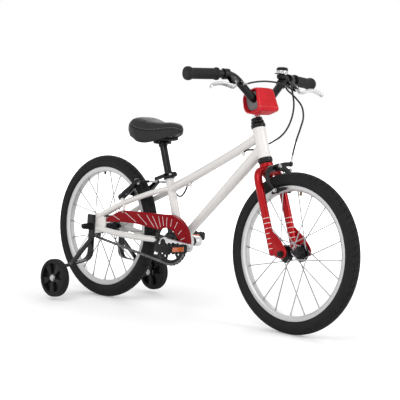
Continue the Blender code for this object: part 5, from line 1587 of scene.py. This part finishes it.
def build_stabilisers():
    """The bent flat arms with braces, bolts and brackets, and the spoked wheels."""
    for side, word in SIDES:
        bend = [(62.5, 246), (62.5, 118), (189, 94), (189, 52)]
        profile = even(eased(bend, [0, 26, 7, 0], 10), 70)
        path = np.column_stack((np.zeros(70), profile[:, 0] * side, profile[:, 1]))
        wide = np.interp(np.linspace(0, 1, 70), (0, 0.03, 0.97, 1), (0.8, 1, 1, 0.8))
        size = np.column_stack((np.ones(70), wide))
        shapes = [swept(path, soft_box(4, 26, 1.2, 4), size, guide=FORWARD)]
        brace = [(61.5, 196), (62.5, 178), (74, 168), (137, 103), (150, 101.4)]
        brace = even(eased(brace, [0, 8, 8, 8, 0], 6), 30)
        path = np.column_stack((np.zeros(30), brace[:, 0] * side, brace[:, 1]))
        shapes.append(swept(path, soft_box(5, 20, 1.8, 4), guide=FORWARD))
        centre = STABILISER_HUB * (1, side, 1)
        out = LEFT * side
        shapes.append(block((30, 8, 34), (0, side * 66.4, 238), None, 2))
        name = "stabiliser_arm_" + word
        add_piece("stabiliser_bar_" + word, shapes, "gloss", "frame", [name])
        bits = [
            rod(centre - out * 26.3, centre + out * 13, 5, 0.5, 24),
            hexagon(centre - out * 26, out, 17, 6),
            hexagon(centre - out * 12.2, out, 16, 3.4),
            hexagon(centre + out * 8.7, out, 15.4, 4.4),
            rod(centre + out * 8.4, centre + out * 9.4, 10, 0.3, 32),
        ]
        add_piece("stabiliser_bolt_" + word, bits, "zinc", "frame")
        build_stabiliser_wheel(word, centre)


def build_stabiliser_wheel(word, centre):
    """A hard tread over a dished wheel of five broad spokes with deep recesses between."""
    tread = both_ways([(46, -12), (52, -12), (55.2, -10.6), (56.5, -8)])
    shapes = [turned(tread, 0.7, 3, centre, LEFT, 96)]
    for y in (-4, 0, 4):
        groove = [(56.2, y - 0.9), (56.9, y), (56.2, y + 0.9), (55.8, y)]
        shapes.append(spun(groove, centre, LEFT, 96, loop=True))
    body = "stabiliser_wheel_" + word
    tyre = "stabiliser_tyre_" + word
    add_piece(tyre, shapes, "tyre", body, [body])
    shapes = [turned(hoop(44, 47.4, -11.2, 11.2), 0.6, 2, centre, LEFT, 96)]
    hub = both_ways([(5.5, -8.2), (13, -8.2), (14.6, -7)])
    shapes.append(turned(hub, 0.6, 3, centre, LEFT, 48))
    shapes.append(turned(hoop(12, 46, -1.4, 1.4), 0.4, 2, centre, LEFT, 72))
    for k in range(5):
        turn = math.radians(54 + 72 * k)
        spoke = np.array([(12.6, -3.4), (45.6, -12.6), (45.6, 12.6), (12.6, 3.4)])
        spoke = eased(spoke, 1.2, 2, loop=True)
        along = np.array((math.cos(turn), math.sin(turn)))
        flat = spoke[:, :1] * along + spoke[:, 1:] * (-along[1], along[0])
        shapes.append(plate([flat], 18.4, 1, centre, SIDE_VIEW))
    add_piece("stabiliser_core_" + word, shapes, "plastic", body)


# Stage


CAMERA_TURNS = (44.74, 3.62, 3.21)
CAMERA_AIM = Vector((0, 0, 0.3304))
CAMERA_REACH = 3.7105
FOCAL_SHARE = 1283.5 / 400
SENSOR = 36
FLOOR_HALF = 30.0


def build_stage(stage):
    """A pale floor, soft studio lamps, a white surround and the photograph's camera."""
    scene = bpy.context.scene
    scene.view_settings.view_transform = "Standard"
    world = bpy.data.worlds.new("surround")
    scene.world = world
    world.use_nodes = True
    rays = add_node(world, "ShaderNodeLightPath").outputs
    more = arith(world, "MAXIMUM", rays["Is Glossy Ray"], rays["Is Transmission Ray"])
    both = {0: rays["Is Camera Ray"], 1: more}
    seen = add_node(world, "ShaderNodeMath", both, operation="ADD", use_clamp=True)
    level = spread(world, seen.outputs[0], stage.surround, 1.0, 0.0, 1.0)
    sky = world.node_tree.nodes["Background"]
    sky.inputs["Color"].default_value = (1, 1, 1, 1)
    world.node_tree.links.new(level, sky.inputs["Strength"])

    look = new_look("pale_floor", (0.86, 0.86, 0.86), 0.9)
    reach = add_node(look, "ShaderNodeVectorMath", {0: place_of(look)}, operation="LENGTH")
    far = spread(look, reach.outputs["Value"], 0.22, 1.0, 0.6, 3.0)
    rays = add_node(look, "ShaderNodeLightPath")
    view = arith(look, "MAXIMUM", rays.outputs["Is Camera Ray"], rays.outputs["Is Glossy Ray"])
    strength = arith(look, "MULTIPLY", far, view)
    glow = add_node(look, "ShaderNodeEmission", {"Color": (1, 1, 1, 1), "Strength": strength})
    shader = look.node_tree.nodes["Principled BSDF"]
    both = add_node(look, "ShaderNodeAddShader", {0: shader.outputs[0], 1: glow.outputs[0]})
    output = look.node_tree.nodes["Material Output"]
    look.node_tree.links.new(both.outputs[0], output.inputs["Surface"])
    corners = [(x * FLOOR_HALF, y * FLOOR_HALF, 0) for x, y in ((-1, -1), (1, -1), (1, 1), (-1, 1))]
    mesh = bpy.data.meshes.new("floor")
    mesh.from_pydata(corners, [], [(0, 1, 2, 3)])
    mesh.materials.append(look)
    floor = bpy.data.objects.new("floor", mesh)
    scene.collection.objects.link(floor)

    target = Vector((0, 0, 0.35))
    lamps = (
        ("key", (1.6, -3.2, 3.4), 2.6, stage.key),
        ("fill", (3.6, 1.2, 2.2), 2.4, stage.fill),
        ("back", (-2.6, 2.8, 3.0), 2.6, stage.back),
        ("left_strip", (0.44, -2.56, 0.9), 0.12, stage.strip),
        ("right_strip", (2.6, 0.08, 0.9), 0.12, stage.strip),
    )
    for name, place, size, power in lamps:
        lamp = bpy.data.lights.new(name, "AREA")
        lamp.shape = "RECTANGLE" if "strip" in name else "DISK"
        lamp.size = size
        lamp.size_y = 2.4
        lamp.energy = power
        holder = bpy.data.objects.new(name, lamp)
        holder.location = place
        aim = target - Vector(place)
        holder.rotation_euler = aim.to_track_quat("-Z", "Y").to_euler()
        scene.collection.objects.link(holder)

    azimuth, elevation, roll = (math.radians(v) for v in CAMERA_TURNS)
    flat = math.cos(elevation)
    back = Vector((math.sin(azimuth) * flat, -math.cos(azimuth) * flat, math.sin(elevation)))
    right = Vector((math.cos(azimuth), math.sin(azimuth), 0))
    rise = back.cross(right)
    across = right * math.cos(roll) + rise * math.sin(roll)
    above = rise * math.cos(roll) - right * math.sin(roll)
    camera = bpy.data.cameras.new("camera")
    camera.sensor_width = SENSOR
    camera.lens = FOCAL_SHARE * SENSOR
    camera.shift_x = 0.01
    camera.clip_end = 100
    holder = bpy.data.objects.new("camera", camera)
    turn = Matrix((across, above, back)).transposed().to_4x4()
    holder.matrix_world = Matrix.Translation(CAMERA_AIM + back * CAMERA_REACH) @ turn
    scene.collection.objects.link(holder)
    scene.camera = holder


# Add-on


class WheelSizes(bpy.types.PropertyGroup):
    """What a user would change on the two wheels."""

    spokes: IntProperty(name="Spokes", description="Spokes in each wheel", default=20, min=12, max=36)
    tread_blocks: IntProperty(
        name="Tread blocks", description="Tread blocks round each tyre", default=66, min=40, max=90
    )


class GuardSizes(bpy.types.PropertyGroup):
    """What a user would change on the chainguard."""

    line_width: FloatProperty(
        name="Line width", description="Width of the white lines, in mm", default=1.5, min=0.5, max=6
    )


class BikeColours(bpy.types.PropertyGroup):
    """The bike's colours, as linear values."""

    frame: FloatVectorProperty(
        name="Frame", description="Pearl paint of the frame", subtype="COLOR", default=(0.74, 0.72, 0.70)
    )
    fork: FloatVectorProperty(
        name="Fork", description="Metallic paint", subtype="COLOR", default=(0.40, 0.002, 0.005)
    )
    guard: FloatVectorProperty(
        name="Guard", description="Chainguard plastic", subtype="COLOR", default=(0.24, 0.005, 0.009)
    )
    pad: FloatVectorProperty(
        name="Pad", description="Vinyl of the bar pad", subtype="COLOR", default=(0.58, 0.020, 0.028)
    )
    saddle: FloatVectorProperty(
        name="Saddle", description="Vinyl of the saddle", subtype="COLOR", default=(0.014, 0.014, 0.015)
    )
    black: FloatVectorProperty(
        name="Black", description="Paint and plastic", subtype="COLOR", default=(0.007, 0.007, 0.008)
    )
    rubber: FloatVectorProperty(
        name="Rubber", description="Tyres and grips", subtype="COLOR", default=(0.011, 0.011, 0.012)
    )
    silver: FloatVectorProperty(
        name="Silver", description="Bare alloy", subtype="COLOR", default=(0.62, 0.62, 0.62)
    )


class StageSettings(bpy.types.PropertyGroup):
    """The studio's light."""

    surround: FloatProperty(name="Surround", description="Light from all round", default=0.62, min=0)
    key: FloatProperty(name="Key lamp", description="Power of the main lamp", default=62, unit="POWER")
    fill: FloatProperty(name="Fill lamp", description="Power of the fill lamp", default=35, unit="POWER")
    back: FloatProperty(name="Back lamp", description="Power of the back lamp", default=40, unit="POWER")
    strip: FloatProperty(name="Strips", description="Power of each strip", default=8, unit="POWER")


class KIDSBIKE_OT_wheels(bpy.types.Operator):
    """Build both wheels, their axles and the freewheel"""

    bl_idname = "kidsbike.wheels"
    bl_label = "Wheels"

    def execute(self, context):
        sizes = context.scene.kidsbike_wheels
        build_wheel("front", FRONT_HUB, 40, sizes, (math.radians(86), "brass", 11))
        build_wheel("rear", REAR_HUB, 36.5, sizes, (math.radians(97.5), "plastic", 8))
        build_axles()
        build_freewheel()
        return {"FINISHED"}


class KIDSBIKE_OT_frame(bpy.types.Operator):
    """Build the frame's tubes, the headset and the fork"""

    bl_idname = "kidsbike.frame"
    bl_label = "Frame and fork"

    def execute(self, context):
        build_frame()
        build_headset()
        build_fork()
        return {"FINISHED"}


class KIDSBIKE_OT_bars(bpy.types.Operator):
    """Build the handlebar, stem, grips, padded cover, brake levers and bell"""

    bl_idname = "kidsbike.bars"
    bl_label = "Handlebar"

    def execute(self, context):
        build_bars()
        build_levers()
        build_bell()
        build_pad()
        return {"FINISHED"}


class KIDSBIKE_OT_brakes(bpy.types.Operator):
    """Build both rim brakes and their cables"""

    bl_idname = "kidsbike.brakes"
    bl_label = "Brakes and cables"

    def execute(self, context):
        build_front_brake()
        build_rear_brake()
        build_cables()
        return {"FINISHED"}


class KIDSBIKE_OT_seat(bpy.types.Operator):
    """Build the saddle, its post and its clamps"""

    bl_idname = "kidsbike.seat"
    bl_label = "Seat"

    def execute(self, context):
        build_saddle()
        build_seat_clamp()
        return {"FINISHED"}


class KIDSBIKE_OT_drive(bpy.types.Operator):
    """Build the cranks, pedals, chain and chainguard"""

    bl_idname = "kidsbike.drive"
    bl_label = "Drive"

    def execute(self, context):
        build_cranks()
        build_chain()
        build_chainguard(context.scene.kidsbike_guard.line_width)
        return {"FINISHED"}


class KIDSBIKE_OT_stabilisers(bpy.types.Operator):
    """Build the stabilisers' arms and wheels"""

    bl_idname = "kidsbike.stabilisers"
    bl_label = "Stabilisers"

    def execute(self, context):
        build_stabilisers()
        return {"FINISHED"}


class KIDSBIKE_OT_stage(bpy.types.Operator):
    """Build the floor, the lamps and the camera"""

    bl_idname = "kidsbike.stage"
    bl_label = "Stage"

    def execute(self, context):
        build_stage(context.scene.kidsbike_stage)
        return {"FINISHED"}


OPERATORS = (
    KIDSBIKE_OT_stage,
    KIDSBIKE_OT_wheels,
    KIDSBIKE_OT_frame,
    KIDSBIKE_OT_bars,
    KIDSBIKE_OT_brakes,
    KIDSBIKE_OT_seat,
    KIDSBIKE_OT_drive,
    KIDSBIKE_OT_stabilisers,
)


class KIDSBIKE_PT_panel(bpy.types.Panel):
    """The bike's pieces, in the order in which they are built"""

    bl_idname = "KIDSBIKE_PT_panel"
    bl_label = "Kids bike"
    bl_space_type = "VIEW_3D"
    bl_region_type = "UI"
    bl_category = "Kids bike"

    def draw(self, context):
        for operator in OPERATORS:
            self.layout.operator(operator.bl_idname)


GROUPS = {
    "kidsbike_wheels": WheelSizes,
    "kidsbike_guard": GuardSizes,
    "kidsbike_colours": BikeColours,
    "kidsbike_stage": StageSettings,
}


def register():
    """Add the settings, the operators and the panel."""
    for name, group in GROUPS.items():
        bpy.utils.register_class(group)
        setattr(bpy.types.Scene, name, PointerProperty(type=group))
    for kind in (*OPERATORS, KIDSBIKE_PT_panel):
        bpy.utils.register_class(kind)


def unregister():
    """Take them away again."""
    for kind in (KIDSBIKE_PT_panel, *reversed(OPERATORS)):
        bpy.utils.unregister_class(kind)
    for name, group in GROUPS.items():
        delattr(bpy.types.Scene, name)
        bpy.utils.unregister_class(group)


def main():
    """Build the bike in order."""
    register()
    LOOKS.update(make_looks(bpy.context.scene.kidsbike_colours))
    for operator in OPERATORS:
        family, name = operator.bl_idname.split(".")
        getattr(getattr(bpy.ops, family), name)()


if __name__ == "__main__":
    main()
